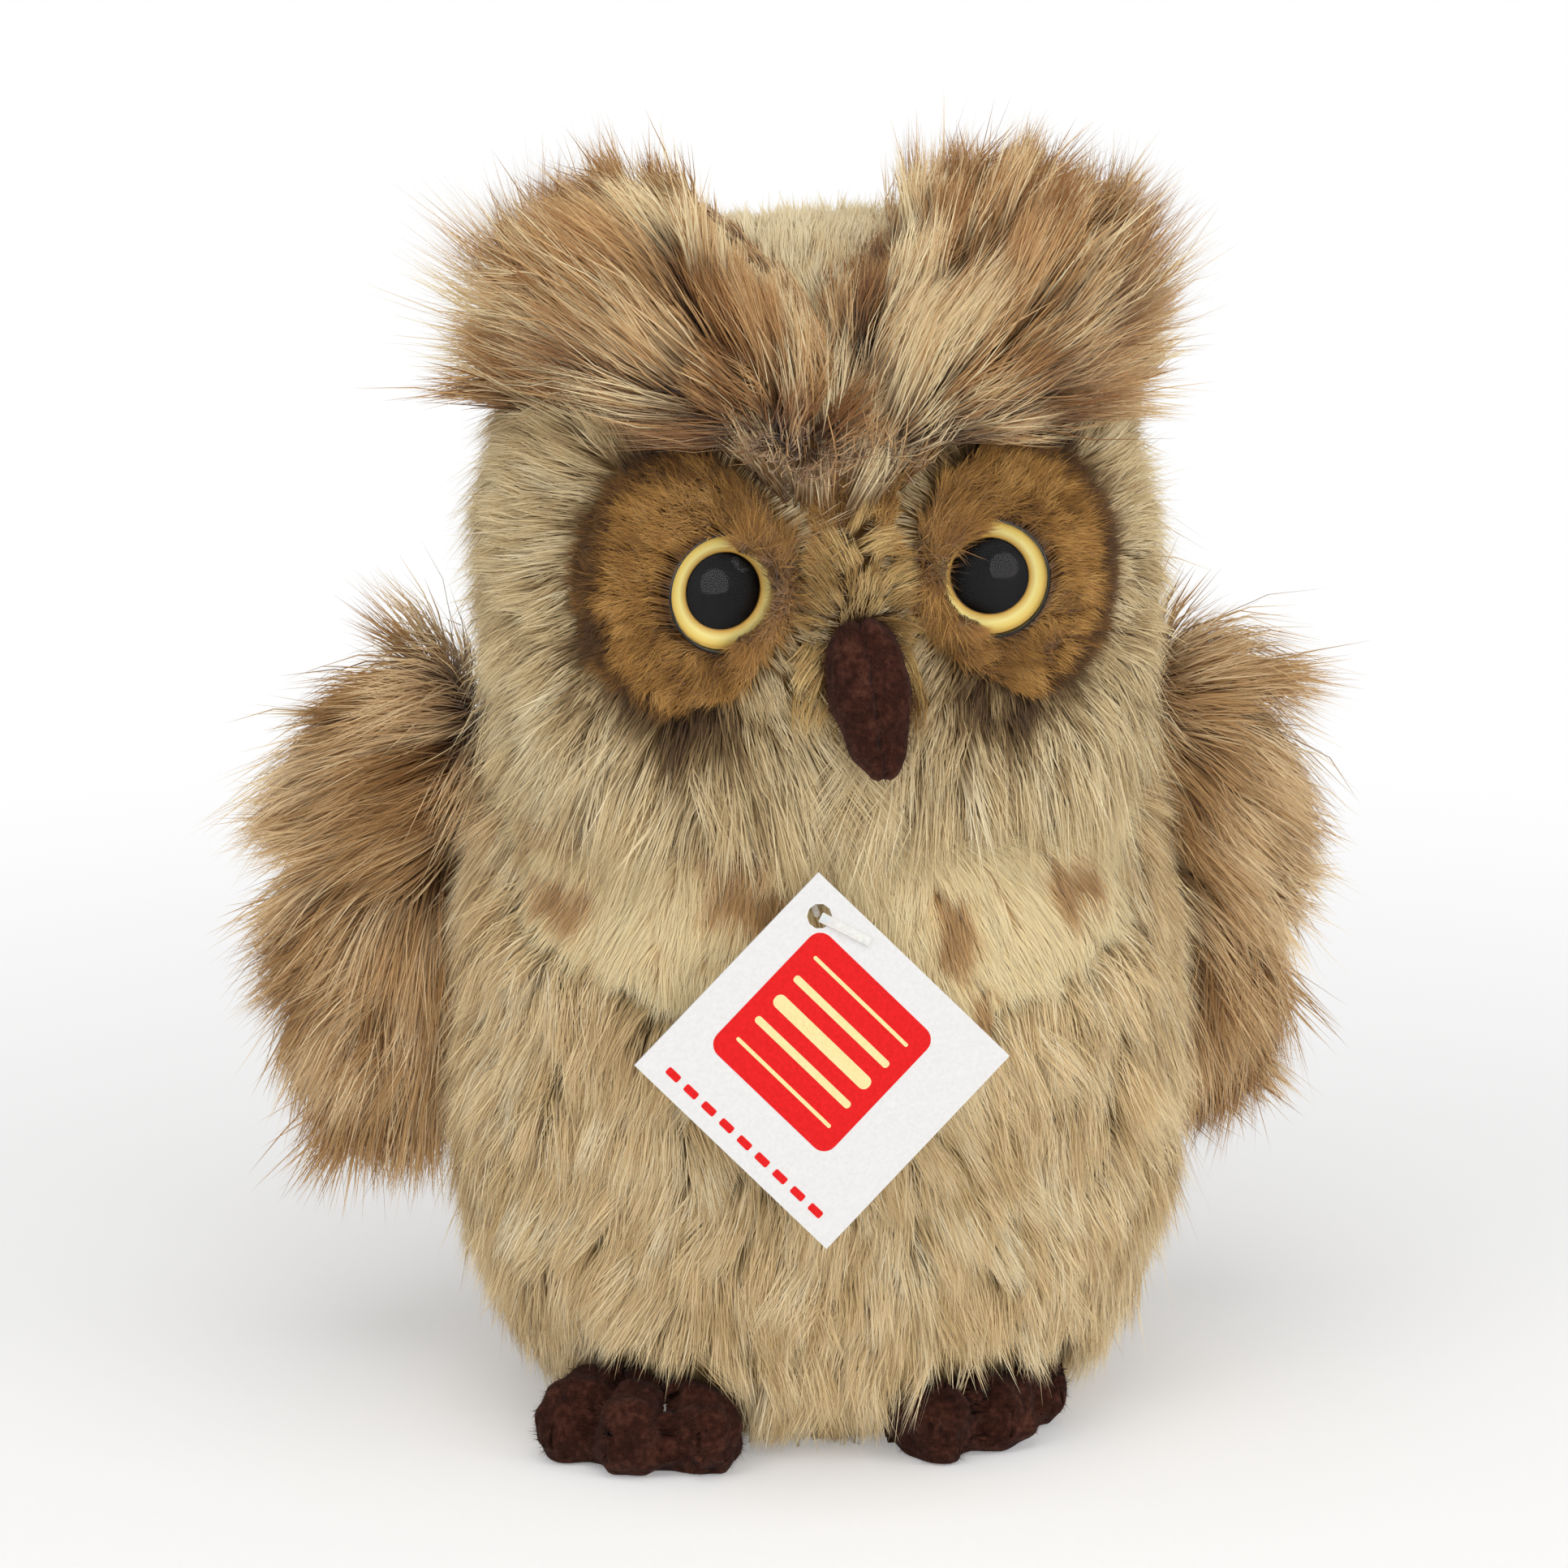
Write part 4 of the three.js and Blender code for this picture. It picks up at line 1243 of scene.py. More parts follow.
@dataclass
class FeltShape:
    """A stuffed felt piece: its form with a sewn seam and a thin fuzz.

    Attributes:
        name: Its name.
        panels: The felt nodes that it is sewn from.
        inner: What fills it.
        voxel: The size of its faces.
        smoothing: How many times its surface is evened out.
    """

    name: str
    panels: tuple[str, ...]
    inner: tuple[str, ...]
    voxel: float
    smoothing: int
    thickness: float = 0.0012
    closing: float = 0.0
    fullness: float = 0.0004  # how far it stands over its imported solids
    lump: float = 0.00025
    lump_pitch: float = 0.006
    seam_depth: float = 0.0007
    seam_width: float = 0.0007
    groove_depth: float = 0.0030
    groove_width: float = 0.0013
    groove_start: Range = (0.001, 0.007)  # from the ankle, over which a groove deepens
    groove_under: float = 0.6  # how far round under the foot it runs, as a share of a normal
    seam_wobble: float = 0.25  # of its width
    groove_wobble: float = 0.3  # of the seam's width
    steepest_under: float = -0.5  # how far a normal may point down where fuzz still shows
    fuzz_lie: Place = (0, -0.3, -1.0)  # the way the fuzz lies before its locks turn
    seed: int = 500
    form: Form = field(init=False)
    fuzz: Pile = Pile(
        length=0.0010, density=8, width=0.00008, lift=34, sink=0.0001, wisp=0.001, lock=0.003,
        wisp_gather=0.1, lock_gather=0.0, lock_turn=80, waver=60, waver_pitch=0.004, scatter=0.4,
        spread=0.3, segments=1,
    )

    def model(self) -> "FeltShape":
        """Makes the form, uneven as hand-stuffed felt is, and returns it."""
        self.form = Form(self.name, self.panels, self.inner, self.voxel, self.smoothing, self.closing)
        self.form.model()
        lumps = slow_noise(self.form.points, self.lump_pitch, self.seed) * self.lump + self.fullness
        self.form.outer = on_floor(self.form.points + self.form.normals * lumps[:, None])
        set_points(self.form.skin.data, self.form.outer)
        self.form.refresh()
        return self

    def drawn_in(self, depth: Array) -> None:
        """Draws the form in along its normals, while each panel keeps what it owned before."""
        self.form.outer = self.form.points
        set_points(self.form.skin.data, self.form.points - self.form.normals * depth[:, None])
        self.form.refresh()

    def wobble(self, share: float) -> Array:
        """Returns how far each point's distance from a seam is off, as a hand-sewn seam wanders."""
        return slow_noise(self.form.points, self.lump_pitch, self.seed + 1) * self.seam_width * share

    def sewn(self, first: str, second: str) -> None:
        """Draws the form in along the seam between two of its panels."""
        ends = [mesh_points(node_mesh(node)).mean(axis=0) for node in (first, second)]
        normal, middle = unit(ends[1] - ends[0]), (ends[0] + ends[1]) / 2
        apart = (self.form.points - middle) @ normal + self.wobble(self.seam_wobble)
        self.drawn_in(self.seam_depth * np.exp(-((apart / self.seam_width) ** 2)))

    def grooved(self, ankle: tuple[float, float], turns: Sequence[float]) -> None:
        """Draws the form in along the stitches between its toes.

        Args:
            ankle: Where the stitches would meet.
            turns: Degrees of each stitch from straight forward, towards the owl's left.
        """
        away = self.form.points[:, :2] - np.array(ankle)
        wobble = self.wobble(self.groove_wobble)
        depth = np.zeros(len(away))
        for turn in np.radians(turns):
            along = away @ np.array([math.sin(turn), -math.cos(turn)])
            aside = away @ np.array([math.cos(turn), math.sin(turn)]) + wobble
            groove = np.exp(-((aside / self.groove_width) ** 2)) * ease(along, *self.groove_start)
            depth = np.maximum(depth, self.groove_depth * groove)
        self.drawn_in(depth * np.clip(self.form.normals[:, 2] + self.groove_under, 0, 1))

    def dress(self, felt: bpy.types.Material, fuzz: bpy.types.Material) -> None:
        """Makes each panel with its fuzz."""
        roots = self.form.roots(self.fuzz.density, self.seed)
        for seed, node in enumerate(self.panels, start=self.seed):
            dress(self.form.backing(node, 0, self.thickness), felt, "body")
            seen = roots[node].only(roots[node].normals[:, 2] > self.steepest_under)
            if not len(seen.places):
                continue
            tone = Patches(0.5, 0.15, self.lump_pitch, self.seed + 2)
            for piece in Coat(self.fuzz, self.comb_loose, tone, seed, on_floor).grow(f"{node}_fuzz", seen):
                dress(piece, fuzz, "body")

    def comb_loose(self, places: Array, normals: Array) -> Array:
        """Combs the fuzz down the felt, where each lock then turns its own way."""
        return np.broadcast_to(np.array(self.fuzz_lie), places.shape)


@dataclass(frozen=True)
class Cover:
    """What one panel is covered with. Its fields mean what a coat's and a finish's do."""

    pile: Pile
    comb: Comb
    tone: Tone
    finish: PileFinish
    slot: str
    shorten: Tone | None = None


def cover_panels(
    form: Form, covers: dict[str, Cover], roots: dict[str, Roots], density: float, seed: int,
    settle: Settle, keep: Keep,
) -> None:
    """Covers the panels of a form that belongs to the body.

    Args:
        form: The form.
        covers: What each node is covered with.
        roots: Where strands may start on each node.
        density: How many of them there are on a square millimetre.
        seed: The first panel's, and the others' follow on.
        settle: What lays the strands over or under other pieces.
        keep: What says which strands stay.
    """
    for number, (node, cover) in enumerate(covers.items(), start=seed):
        count = int(len(roots[node].places) * cover.pile.density / density)
        starts = roots[node].thinned(count, np.random.default_rng(number))
        coat = Coat(cover.pile, cover.comb, cover.tone, number, settle, keep, shorten=cover.shorten)
        coat.cover(form, node, starts, cover.finish, cover.slot, "body")


@dataclass
class PlushBody:
    """The stuffed body with its bib.

    Attributes:
        tag: The tag, which presses the pile behind it.
        feet: The feet's forms, which the pile leaves free.
    """

    tag: HangTag
    feet: list[Form]
    foot_margin: float = 0.0012
    head_trial: float = 0.002  # how far over the skin it is tried whether the head covers a root
    head_margin: float = -0.001
    form: Form = field(init=False)
    belly: Pile = Pile(
        length=0.0125, density=7.0, width=0.00018, lift=22, sink=0.0032, wisp=0.0015, lock=0.0042,
        wisp_gather=0.55, lock_gather=0.3, lock_turn=13, waver=13, scatter=0.08, tone_spread=0.24,
    )
    back: Pile = Pile(
        length=0.0125, density=3.2, width=0.00028, lift=21, sink=0.0032, wisp=0.0017, lock=0.0045,
        wisp_gather=0.5, lock_gather=0.3, lock_turn=11, waver=12, scatter=0.08,
    )
    bib: Pile = Pile(
        length=0.0068, density=11.0, width=0.00014, lift=14, sink=0.0020, wisp=0.0012, lock=0.0036,
        wisp_gather=0.3, lock_gather=0.1, lock_turn=8, waver=8, tone_spread=0.05, scatter=0.08,
    )
    base: Pile = Pile(length=0.006, density=1.2, width=0.0004, lift=8, sink=0.0016)
    belly_finish: PileFinish = PileFinish(
        "belly_pile",
        roots=((0.0, (128, 100, 50)), (1.0, (184, 154, 98))),
        tips=((0.0, (208, 178, 124)), (0.5, (248, 222, 172)), (1.0, (255, 244, 212))),
    )
    bib_finish: PileFinish = PileFinish(
        "bib_pile",
        roots=(
            (0.0, (138, 96, 50)), (0.35, (190, 148, 90)), (0.65, (255, 218, 156)), (1.0, (255, 226, 172)),
        ),
        tips=(
            (0.0, (168, 126, 76)), (0.35, (212, 170, 114)), (0.65, (255, 234, 182)), (1.0, (255, 242, 202)),
        ),
        sheen=1.0, backing_from=0.6,
    )
    even_tone: Patches = Patches(0.5, 0.1, 0.02, 31)
    flare: float = 5  # how far outwards the pile lies, for each metre from the middle
    bib_source: Place = (-0.003, -0.030, 0.175)  # which the bib's strands stream from
    bib_pale: float = 0.82
    spot_dark: float = 0.6  # how much darker than that a spot is
    spot_fade: Range = (0.5, 1.8)  # of its radius, where it starts and ends to fade
    spot_flat: float = 0.85  # its width over its height
    spot_wobble: Patches = Patches(0, 0.0012, 0.008, 5)
    spots: tuple[Place, ...] = (  # how far across, how high and how large each is
        (-0.0384, 0.1044, 0.0044), (-0.0409, 0.0921, 0.0034), (-0.0157, 0.0972, 0.0046),
        (-0.0110, 0.0935, 0.0030), (0.0168, 0.0898, 0.0032), (0.0356, 0.0947, 0.0042),
        (-0.0367, 0.0769, 0.0034), (0.0223, 0.0753, 0.0026),
    )

    def model(self) -> Form:
        """Makes the form and returns it."""
        panels = ("chest_bib", "belly_front", "left_back", "right_back", "base")
        inner = ("body_filling", "pellet_bag", "tag_pin_anchor")
        self.form = Form("body_form", tuple(f"{panel}_panel" for panel in panels), inner).model()
        return self.form

    def comb_down(self, places: Array, normals: Array) -> Array:
        """Combs the pile down, a little outwards from the middle."""
        flow = np.zeros_like(places)
        flow[:, 0] = places[:, 0] * self.flare
        flow[:, 2] = -1
        return flow

    def comb_bib(self, places: Array, normals: Array) -> Array:
        """Combs the bib down and outwards from the neck."""
        return places - np.array(self.bib_source)

    def comb_out(self, places: Array, normals: Array) -> Array:
        """Combs the base outwards from its middle."""
        return places * np.array([1, 1, 0])

    def bib_tone(self, places: Array) -> Array:
        """Returns the bib's tone, low where it has a brown spot."""
        dark = np.zeros(len(places))
        wobble = self.spot_wobble(places)
        for across, height, radius in self.spots:
            apart = np.hypot(places[:, 0] - across, (places[:, 2] - height) * self.spot_flat) + wobble
            dark = np.maximum(dark, 1 - ease(apart / radius, *self.spot_fade))
        return self.bib_pale - self.spot_dark * dark

    def dress(self, head: "PlushHead") -> None:
        """Makes the panels' backings and grows their piles."""
        belly = Cover(self.belly, self.comb_down, self.even_tone, self.belly_finish, "belly_plush")
        covers = {
            "chest_bib_panel": Cover(self.bib, self.comb_bib, self.bib_tone, self.bib_finish, "bib_plush"),
            "belly_front_panel": belly,
            "left_back_panel": replace(belly, pile=self.back),
            "right_back_panel": replace(belly, pile=self.back),
            "base_panel": replace(belly, pile=self.base, comb=self.comb_out),
        }
        roots = self.form.roots(self.bib.density, seed=11)
        for node, found in roots.items():
            tried = found.places + found.normals * self.head_trial
            roots[node] = found.only(~head.form.holds(tried, self.head_margin))
        cover_panels(self.form, covers, roots, self.bib.density, 101, self.settle, self.keep)

    def settle(self, runs: Array) -> Array:
        """Returns strands kept over the floor and behind the card."""
        return on_floor(self.tag.settle(runs))

    def keep(self, runs: Array) -> Array:
        """Returns which strands pass clear of the feet."""
        return np.all([foot.misses(runs, self.foot_margin) for foot in self.feet], axis=0)


@dataclass
class Eye:
    """A round plastic eye in its cup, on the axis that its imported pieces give.

    Attributes:
        side: The owl's side that it sits on.
    """

    side: Side
    bevel: float = 0.00018
    foil: float = 0.0005  # the iris ring's thickness at the pupil
    seat: float = 0.0001  # from the cup to what lies in it
    cup_floor: float = 0.0016
    behind: float = -0.006  # from the iris back, past the cup's floor
    deep: float = -0.012  # from the iris back, under which a strand may pass
    pupil_flat_share: float = 0.72
    iris_share: float = 0.945  # of the cup's radius
    pupil_share: float = 0.67  # of the iris's radius
    ridge: float = 0.0004
    ridge_pitch: float = 0.002
    ridge_count: int = 3
    lens_proud: float = 0.0003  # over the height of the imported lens
    lens_wall: float = 0.0006
    drape_gap: float = 0.0002
    bank_arc: float = 78  # degrees to each side of the nose's direction
    bank_over: float = 0.0024  # how far over the rim it starts
    bank_rise: float = 0.0008  # over the rim
    bank_depth: float = 0.0060
    bank_spread: float = 0.9  # how far the bank's foot stands out, as a share of its depth
    bank_slope: float = 1.3  # its width over its depth
    bank_lean: float = 0.5  # how far its pile leans out from the eye
    overlap: float = 0.0046  # how far the disc's fuzz may reach over the rim on the nose's side

    def __post_init__(self) -> None:
        """Finds the eye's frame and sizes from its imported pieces."""
        ring = self.packed("iris")
        middle = ring.mean(axis=0)
        axis = np.linalg.svd(ring - middle)[2][2]
        self.axis = axis if axis[1] < 0 else -axis
        self.across = unit(np.cross(np.array([0.0, 0.0, 1.0]), self.axis))
        self.above = np.cross(self.axis, self.across)
        self.outwards = self.across * (1 if self.across[0] * self.side.sign > 0 else -1)
        self.floor = middle
        self.radius = self.spans("cup")[1]
        self.iris_outer = self.iris_share * self.radius
        self.iris_inner = self.pupil_share * self.iris_outer
        self.shank = self.spans("cup", top=self.behind)[1] - self.ridge
        self.rim = self.heights("cup")[1]
        axes = Matrix(np.array([self.across, self.above, self.axis]).T.tolist()).to_4x4()
        self.frame = Matrix.Translation(Vector(self.floor)) @ axes

    def packed(self, piece: str) -> Array:
        """Returns the points of one of the eye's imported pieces."""
        return mesh_points(node_mesh(f"{self.side.value}_eye_{piece}"))

    def polar(self, places: Array, aside: Array | float = 0.0) -> tuple[Array, Array]:
        """Returns how high places lie along the axis, and how far from it or from a line aside of it."""
        local = places - self.floor - aside
        heights = local @ self.axis
        return heights, np.linalg.norm(local - heights[..., None] * self.axis, axis=-1)

    def spans(self, piece: str, top: float = 1.0) -> Range:
        """Returns the least and the greatest distance of a piece's points from the axis, under a height."""
        heights, away = self.polar(self.packed(piece))
        away = away[heights < top]
        return float(away.min()), float(away.max())

    def heights(self, piece: str) -> Range:
        """Returns how low and how high a piece reaches along the axis."""
        heights = (self.packed(piece) - self.floor) @ self.axis
        return float(heights.min()), float(heights.max())

    def clear(self, runs: Array, proud: float) -> Array:
        """Returns which strands pass neither through the eye nor far over it.

        Args:
            runs: Points by step, strand and axis.
            proud: How far the eye's front stands over its rim.
        """
        heights, away = self.polar(runs, self.outwards * self.overlap / 2)
        level = (heights > self.deep) & (heights < self.rim + proud)
        return ~(level & (away < self.radius - self.overlap / 2)).any(axis=0)

    def bank(self, density: float, seed: int) -> Roots:
        """Returns roots on the plush that swells up along the rim on the nose's side.

        Args:
            density: Roots on a square millimetre.
            seed: Picks their places.
        """
        chance = np.random.default_rng(seed)
        arc = math.radians(self.bank_arc)
        area = 2 * arc * self.radius * self.bank_depth * self.bank_slope
        count = int(area * density * SQUARE_MILLIMETRES)
        turns = chance.uniform(-arc, arc, count)[:, None]
        out = -self.outwards * np.cos(turns) + self.above * np.sin(turns)
        fall = chance.uniform(0, self.bank_depth, count)[:, None] * np.cos(turns)
        places = self.floor + out * (self.radius - self.bank_over + self.bank_spread * fall)
        places = places + self.axis * (self.rim + self.bank_rise - fall)
        return Roots(places, unit(self.axis + self.bank_lean * out))

    def drape(self, runs: Array) -> Array:
        """Returns strands laid over the lens wherever they would pass through the eye."""
        heights, away = self.polar(runs)
        top = self.heights("lens")[1] + self.lens_proud
        rise = (top - self.rim) * np.clip(1 - (away / self.iris_outer) ** 2, 0, 1)
        dome = self.rim + rise + self.drape_gap
        under = (away < self.radius + self.drape_gap) & (heights > self.deep) & (heights < dome)
        return runs + np.where(under, dome - heights, 0)[..., None] * self.axis

    def cup(self) -> bpy.types.Object:
        """Makes the black cup with its ridged shank."""
        low, high = self.heights("cup")
        wall = self.radius - self.iris_outer - self.seat
        floor = self.heights("iris")[0] - self.seat
        back = floor - self.cup_floor
        piece = blank(f"{self.side.value}_eye_cup_shell", self.radius, back, high)
        edit_end(piece, 1)
        bpy.ops.mesh.inset(thickness=wall)
        draw_out(floor - high)
        edit_end(piece, -1)
        bpy.ops.mesh.inset(thickness=self.radius - self.shank)
        draw_out(low - back + self.ridge_count * self.ridge_pitch)
        wide = 1 + self.ridge / self.shank
        for _ in range(self.ridge_count):
            draw_out(0, wide)
            draw_out(-self.ridge_pitch, 1 / wide)
        return smoothed(piece, self.bevel, 2)

    def iris(self) -> bpy.types.Object:
        """Makes the foil ring, dished up towards its rim."""
        low, high = self.heights("iris")
        width = self.iris_outer - self.iris_inner
        piece = blank(f"{self.side.value}_eye_iris_ring", self.iris_outer, low, high)
        edit_end(piece, 1)
        bpy.ops.mesh.inset(thickness=width, depth=low + self.foil - high)
        edit_end(piece, -1)
        bpy.ops.mesh.inset(thickness=width)
        bore_through(piece)
        return smoothed(piece, self.bevel / 3, 2)

    def pupil(self) -> bpy.types.Object:
        """Makes the black pupil with its flat front."""
        low, high = self.heights("pupil")
        radius = self.iris_inner - self.seat
        piece = blank(f"{self.side.value}_eye_pupil_disc", radius, low, (low + high) / 2)
        edit_end(piece, 1)
        draw_out((high - low) / 2, self.pupil_flat_share)
        return smoothed(piece, self.bevel, 3)

    def lens(self) -> bpy.types.Object:
        """Makes the clear lens as a thin cap of a ball."""
        low, high = self.heights("lens")
        rise = high - low + self.lens_proud
        ball = (self.iris_outer**2 + rise**2) / (2 * rise)
        settings = {"segments": 96, "ring_count": 96, "radius": ball, "location": (0, 0, low + rise - ball)}
        piece = added(bpy.ops.mesh.primitive_uv_sphere_add, f"{self.side.value}_eye_lens_cap", **settings)
        seated(piece)
        bpy.ops.object.mode_set(mode="EDIT")
        bpy.ops.mesh.select_all(action="SELECT")
        bpy.ops.mesh.bisect(plane_co=(0, 0, low), plane_no=(0, 0, 1), clear_inner=True)
        bpy.ops.object.mode_set(mode="OBJECT")
        wall = piece.modifiers.new("wall", "SOLIDIFY")
        wall.thickness = self.lens_wall
        wall.offset = -1
        return smoothed(piece, self.bevel / 2, 2)

    def dress(self) -> None:
        """Makes the eye's pieces and seats them on its axis."""
        black, clear, dull = BLACK_PLASTIC.material(), CLEAR_PLASTIC.material(), PUPIL_PLASTIC.material()
        layout = {
            "cup": (self.cup(), black, "black_plastic"),
            "iris": (self.iris(), FoilFinish().material(self), "gold_foil"),
            "pupil": (self.pupil(), dull, "black_plastic"),
            "lens": (self.lens(), clear, "clear_plastic"),
        }
        for part, (piece, material, slot) in layout.items():
            dress(seated(piece, self.frame), material, "body")
            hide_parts(f"{self.side.value}_eye_{part}")
        finish_node(f"{self.side.value}_eye_lock_washer", WHITE_NYLON.material())


@dataclass
class PlushHead:
    """The stuffed head with its facial discs.

    Attributes:
        eyes: Both eyes, which the pile leaves free.
        beak: The beak's form, which it leaves free too.
    """

    eyes: dict[Side, Eye]
    beak: Form
    disc_source: float = 0.021  # from the eye's middle towards the nose
    face_depth: Range = (-0.022, -0.004)  # behind which no disc shows
    disc_half: Range = (0.0160, 0.0205)  # half its width and height
    bridge_middle: float = 0.0025
    bridge_top: float = 0.157  # over which the brow covers it
    chin_top: float = 0.122
    chin_blend: float = 0.008
    bridge_spread: float = 0.0175
    bridge_narrowing: Range = (0.128, 0.155)
    bridge_sag: Place = (0, 0, -0.15)
    cheek_streaming: Range = (0.026, 0.05)  # from a disc's middle, where the pile turns down and back
    cheek_turning: float = 0.75  # how much of the way out from the disc it loses there
    cheek_lie: Place = (0, 0.5, -0.85)
    cheek_sag: Place = (0, 0, -0.25)
    crown_lie: Place = (0, 1, -0.2)
    by_disc: float = 0.5  # of the length, next to a disc
    by_disc_from: Range = (1.0, 1.4)  # of the way from its middle to its rim
    neck: Range = (0.112, 0.124)  # the heights where the head's fringe hangs over the neck
    neck_more: float = 0.65  # of the length, that the fringe is longer
    chin: Range = (0.122, 0.134)
    chin_more: float = 0.4
    chin_glow: Range = (0.116, 0.130)
    chin_pale: float = 0.22
    lash: Range = (0.012, 0.018)  # from an eye's middle, where the disc's strands grow shorter again
    lash_side: Range = (0.0, 0.006)  # from there towards the nose, where they are longest
    lash_more: float = 1.1
    nose_half: Range = (0.012, 0.020)
    nose_side: Range = (-0.010, 0.0)  # past a disc's middle, where its darker rim of dye and painted shade starts
    # painted shade with some dye: how much darker the cheeks' pile is next to the outer side of a disc
    rim_dye_and_shade: float = 0.56
    rim_fade: Range = (1.02, 1.22)
    # painted shade with some dye: how much darker a disc's pile is towards its outer rim
    disc_dark: float = 0.6
    disc_edge: Range = (0.8, 1.0)
    cheek_patches: Patches = Patches(0.6, 0.06, 0.02, 8)
    crown_patches: Patches = Patches(0.84, 0.06, 0.02, 8)
    bridge_patches: Patches = Patches(0.5, 0.28, 0.007, 3)
    disc_patches: Patches = Patches(0.6, 0.1, 0.006, 4)
    eye_proud: float = 0.006  # how far over an eye's rim no strand passes
    beak_top: float = 0.006  # how much of the beak's height counts as its root
    cheek: Pile = Pile(
        length=0.0115, density=6.2, width=0.00017, lift=25, sink=0.0028, wisp=0.0014, lock=0.004,
        wisp_gather=0.48, lock_gather=0.25, lock_turn=9, waver=10, scatter=0.08,
    )
    crown: Pile = Pile(
        length=0.0075, density=4.7, width=0.00019, lift=32, sink=0.0024, wisp=0.0012, lock=0.004,
        wisp_gather=0.4, lock_gather=0.15, scatter=0.08,
    )
    bridge: Pile = Pile(
        length=0.0062, density=9.0, width=0.00015, lift=40, sink=0.0022, wisp=0.0017, lock=0.004,
        wisp_gather=0.6, lock_gather=0.3, lock_turn=25, waver=20, tone_spread=0.22,
    )
    disc: Pile = Pile(
        length=0.0029, density=21.0, width=0.00010, lift=50, sink=0.0010, wisp=0.0009, lock=0.003,
        wisp_gather=0.2, lock_gather=0.08, lock_turn=22, waver=24, waver_pitch=0.012, scatter=0.22,
    )
    cheek_finish: PileFinish = PileFinish(
        "head_pile",
        roots=((0.0, (52, 32, 16)), (0.5, (134, 104, 62)), (1.0, (180, 148, 98))),
        tips=((0.0, (96, 70, 42)), (0.3, (176, 146, 100)), (0.55, (240, 216, 166)), (1.0, (255, 242, 206))),
        pale_from=0.08, pale_by=0.75,
    )
    bridge_finish: PileFinish = PileFinish(
        "bridge_pile",
        roots=((0.0, (78, 48, 14)), (1.0, (132, 94, 42))),
        tips=((0.0, (134, 96, 44)), (0.5, (212, 174, 106)), (1.0, (250, 220, 154))),
    )
    disc_finish: PileFinish = PileFinish(
        "disc_pile",
        roots=((0.0, (62, 40, 18)), (0.3, (104, 68, 28)), (1.0, (146, 102, 46))),
        tips=((0.0, (92, 62, 32)), (0.3, (158, 112, 54)), (0.6, (202, 152, 80)), (1.0, (236, 190, 116))),
    )

    def model(self) -> Form:
        """Makes the form and returns it."""
        panels = (
            "head_left_panel", "head_right_panel", "head_crown_gusset", "face_bridge_panel",
            "left_eye_disc", "right_eye_disc",
        )
        locks = ("left_eye_lock_washer", "right_eye_lock_washer")
        inner = ("head_filling", "left_eye_cup", "right_eye_cup", *locks)
        self.form = Form("head_form", panels, inner, voxel=0.002).model()
        self.discs = {side: mesh_points(node_mesh(f"{side.value}_eye_disc")).mean(axis=0) for side in Side}
        beak = np.concatenate([mesh_points(node_mesh(f"beak_{side.value}_felt")) for side in Side])
        self.beak_root = beak[beak[:, 2] > beak[:, 2].max() - self.beak_top].mean(axis=0)
        return self.form

    def comb_side(self, side: Side) -> Comb:
        """Returns the comb of a side panel: out from its disc, then down and back."""
        centre = self.discs[side]

        def comb(places: Array, normals: Array) -> Array:
            away = places - centre
            far = ease(np.linalg.norm(away, axis=1), *self.cheek_streaming)[:, None]
            lie = unit(away) * (1 - self.cheek_turning * far) + np.array(self.cheek_lie) * far
            return lie + np.array(self.cheek_sag)

        return comb

    def comb_crown(self, places: Array, normals: Array) -> Array:
        """Combs the gusset back over the crown and down the nape."""
        return np.broadcast_to(np.array(self.crown_lie), places.shape)

    def comb_bridge(self, places: Array, normals: Array) -> Array:
        """Combs the bridge away from the root of the beak."""
        return unit(places - self.beak_root) + np.array(self.bridge_sag)

    def comb_disc(self, side: Side) -> Comb:
        """Returns the comb of a disc: outwards from a point on the nose's side of the eye."""
        source = self.eyes[side].floor - np.array([side.sign * self.disc_source, 0, 0])
        return lambda places, normals: places - source

    def cheek_tone(self, places: Array) -> Array:
        """Returns the side panels' tone, dark next to a disc: partly the plush's own dye, partly painted
        shade in the recess that the disc sits in.
        """
        beyond = ease(np.abs(places[:, 0]), *self.nose_half)
        shade = (1 - ease(self.apart(places), *self.rim_fade)) * beyond
        return self.cheek_patches(places) - self.rim_dye_and_shade * shade

    def cheek_shares(self, places: Array) -> Array:
        """Returns how long the side panels' strands are: short next to a disc, long over the neck."""
        clear = ease(self.apart(places), *self.by_disc_from)
        over_neck = 1 - ease(places[:, 2], *self.neck)
        return self.by_disc + (1 - self.by_disc) * clear + self.neck_more * over_neck

    def bridge_shares(self, places: Array) -> Array:
        """Returns how long the bridge's strands are: longer on the chin."""
        return 1 + self.chin_more * (1 - ease(places[:, 2], *self.chin))

    def disc_shares(self, places: Array) -> Array:
        """Returns how long the discs' strands are: longer where they reach over an eye's inner edge."""
        reach = np.zeros(len(places))
        for side, eye in self.eyes.items():
            apart = np.linalg.norm(places - eye.floor, axis=1)
            nose = ease((eye.floor[0] - places[:, 0]) * side.sign, *self.lash_side)
            reach = np.maximum(reach, (1 - ease(apart, *self.lash)) * nose)
        return 1 + self.lash_more * reach

    def beside_bridge(self, places: Array) -> Array:
        """Returns where the discs' short pile laps over the upper part of the bridge."""
        half = self.bridge_spread * (1 - ease(places[:, 2], *self.bridge_narrowing))
        return np.abs(places[:, 0] - self.bridge_middle) > half

    def bridge_tone(self, places: Array) -> Array:
        """Returns the bridge's mottled tone, paler on the chin."""
        return self.bridge_patches(places) + self.chin_pale * (1 - ease(places[:, 2], *self.chin_glow))

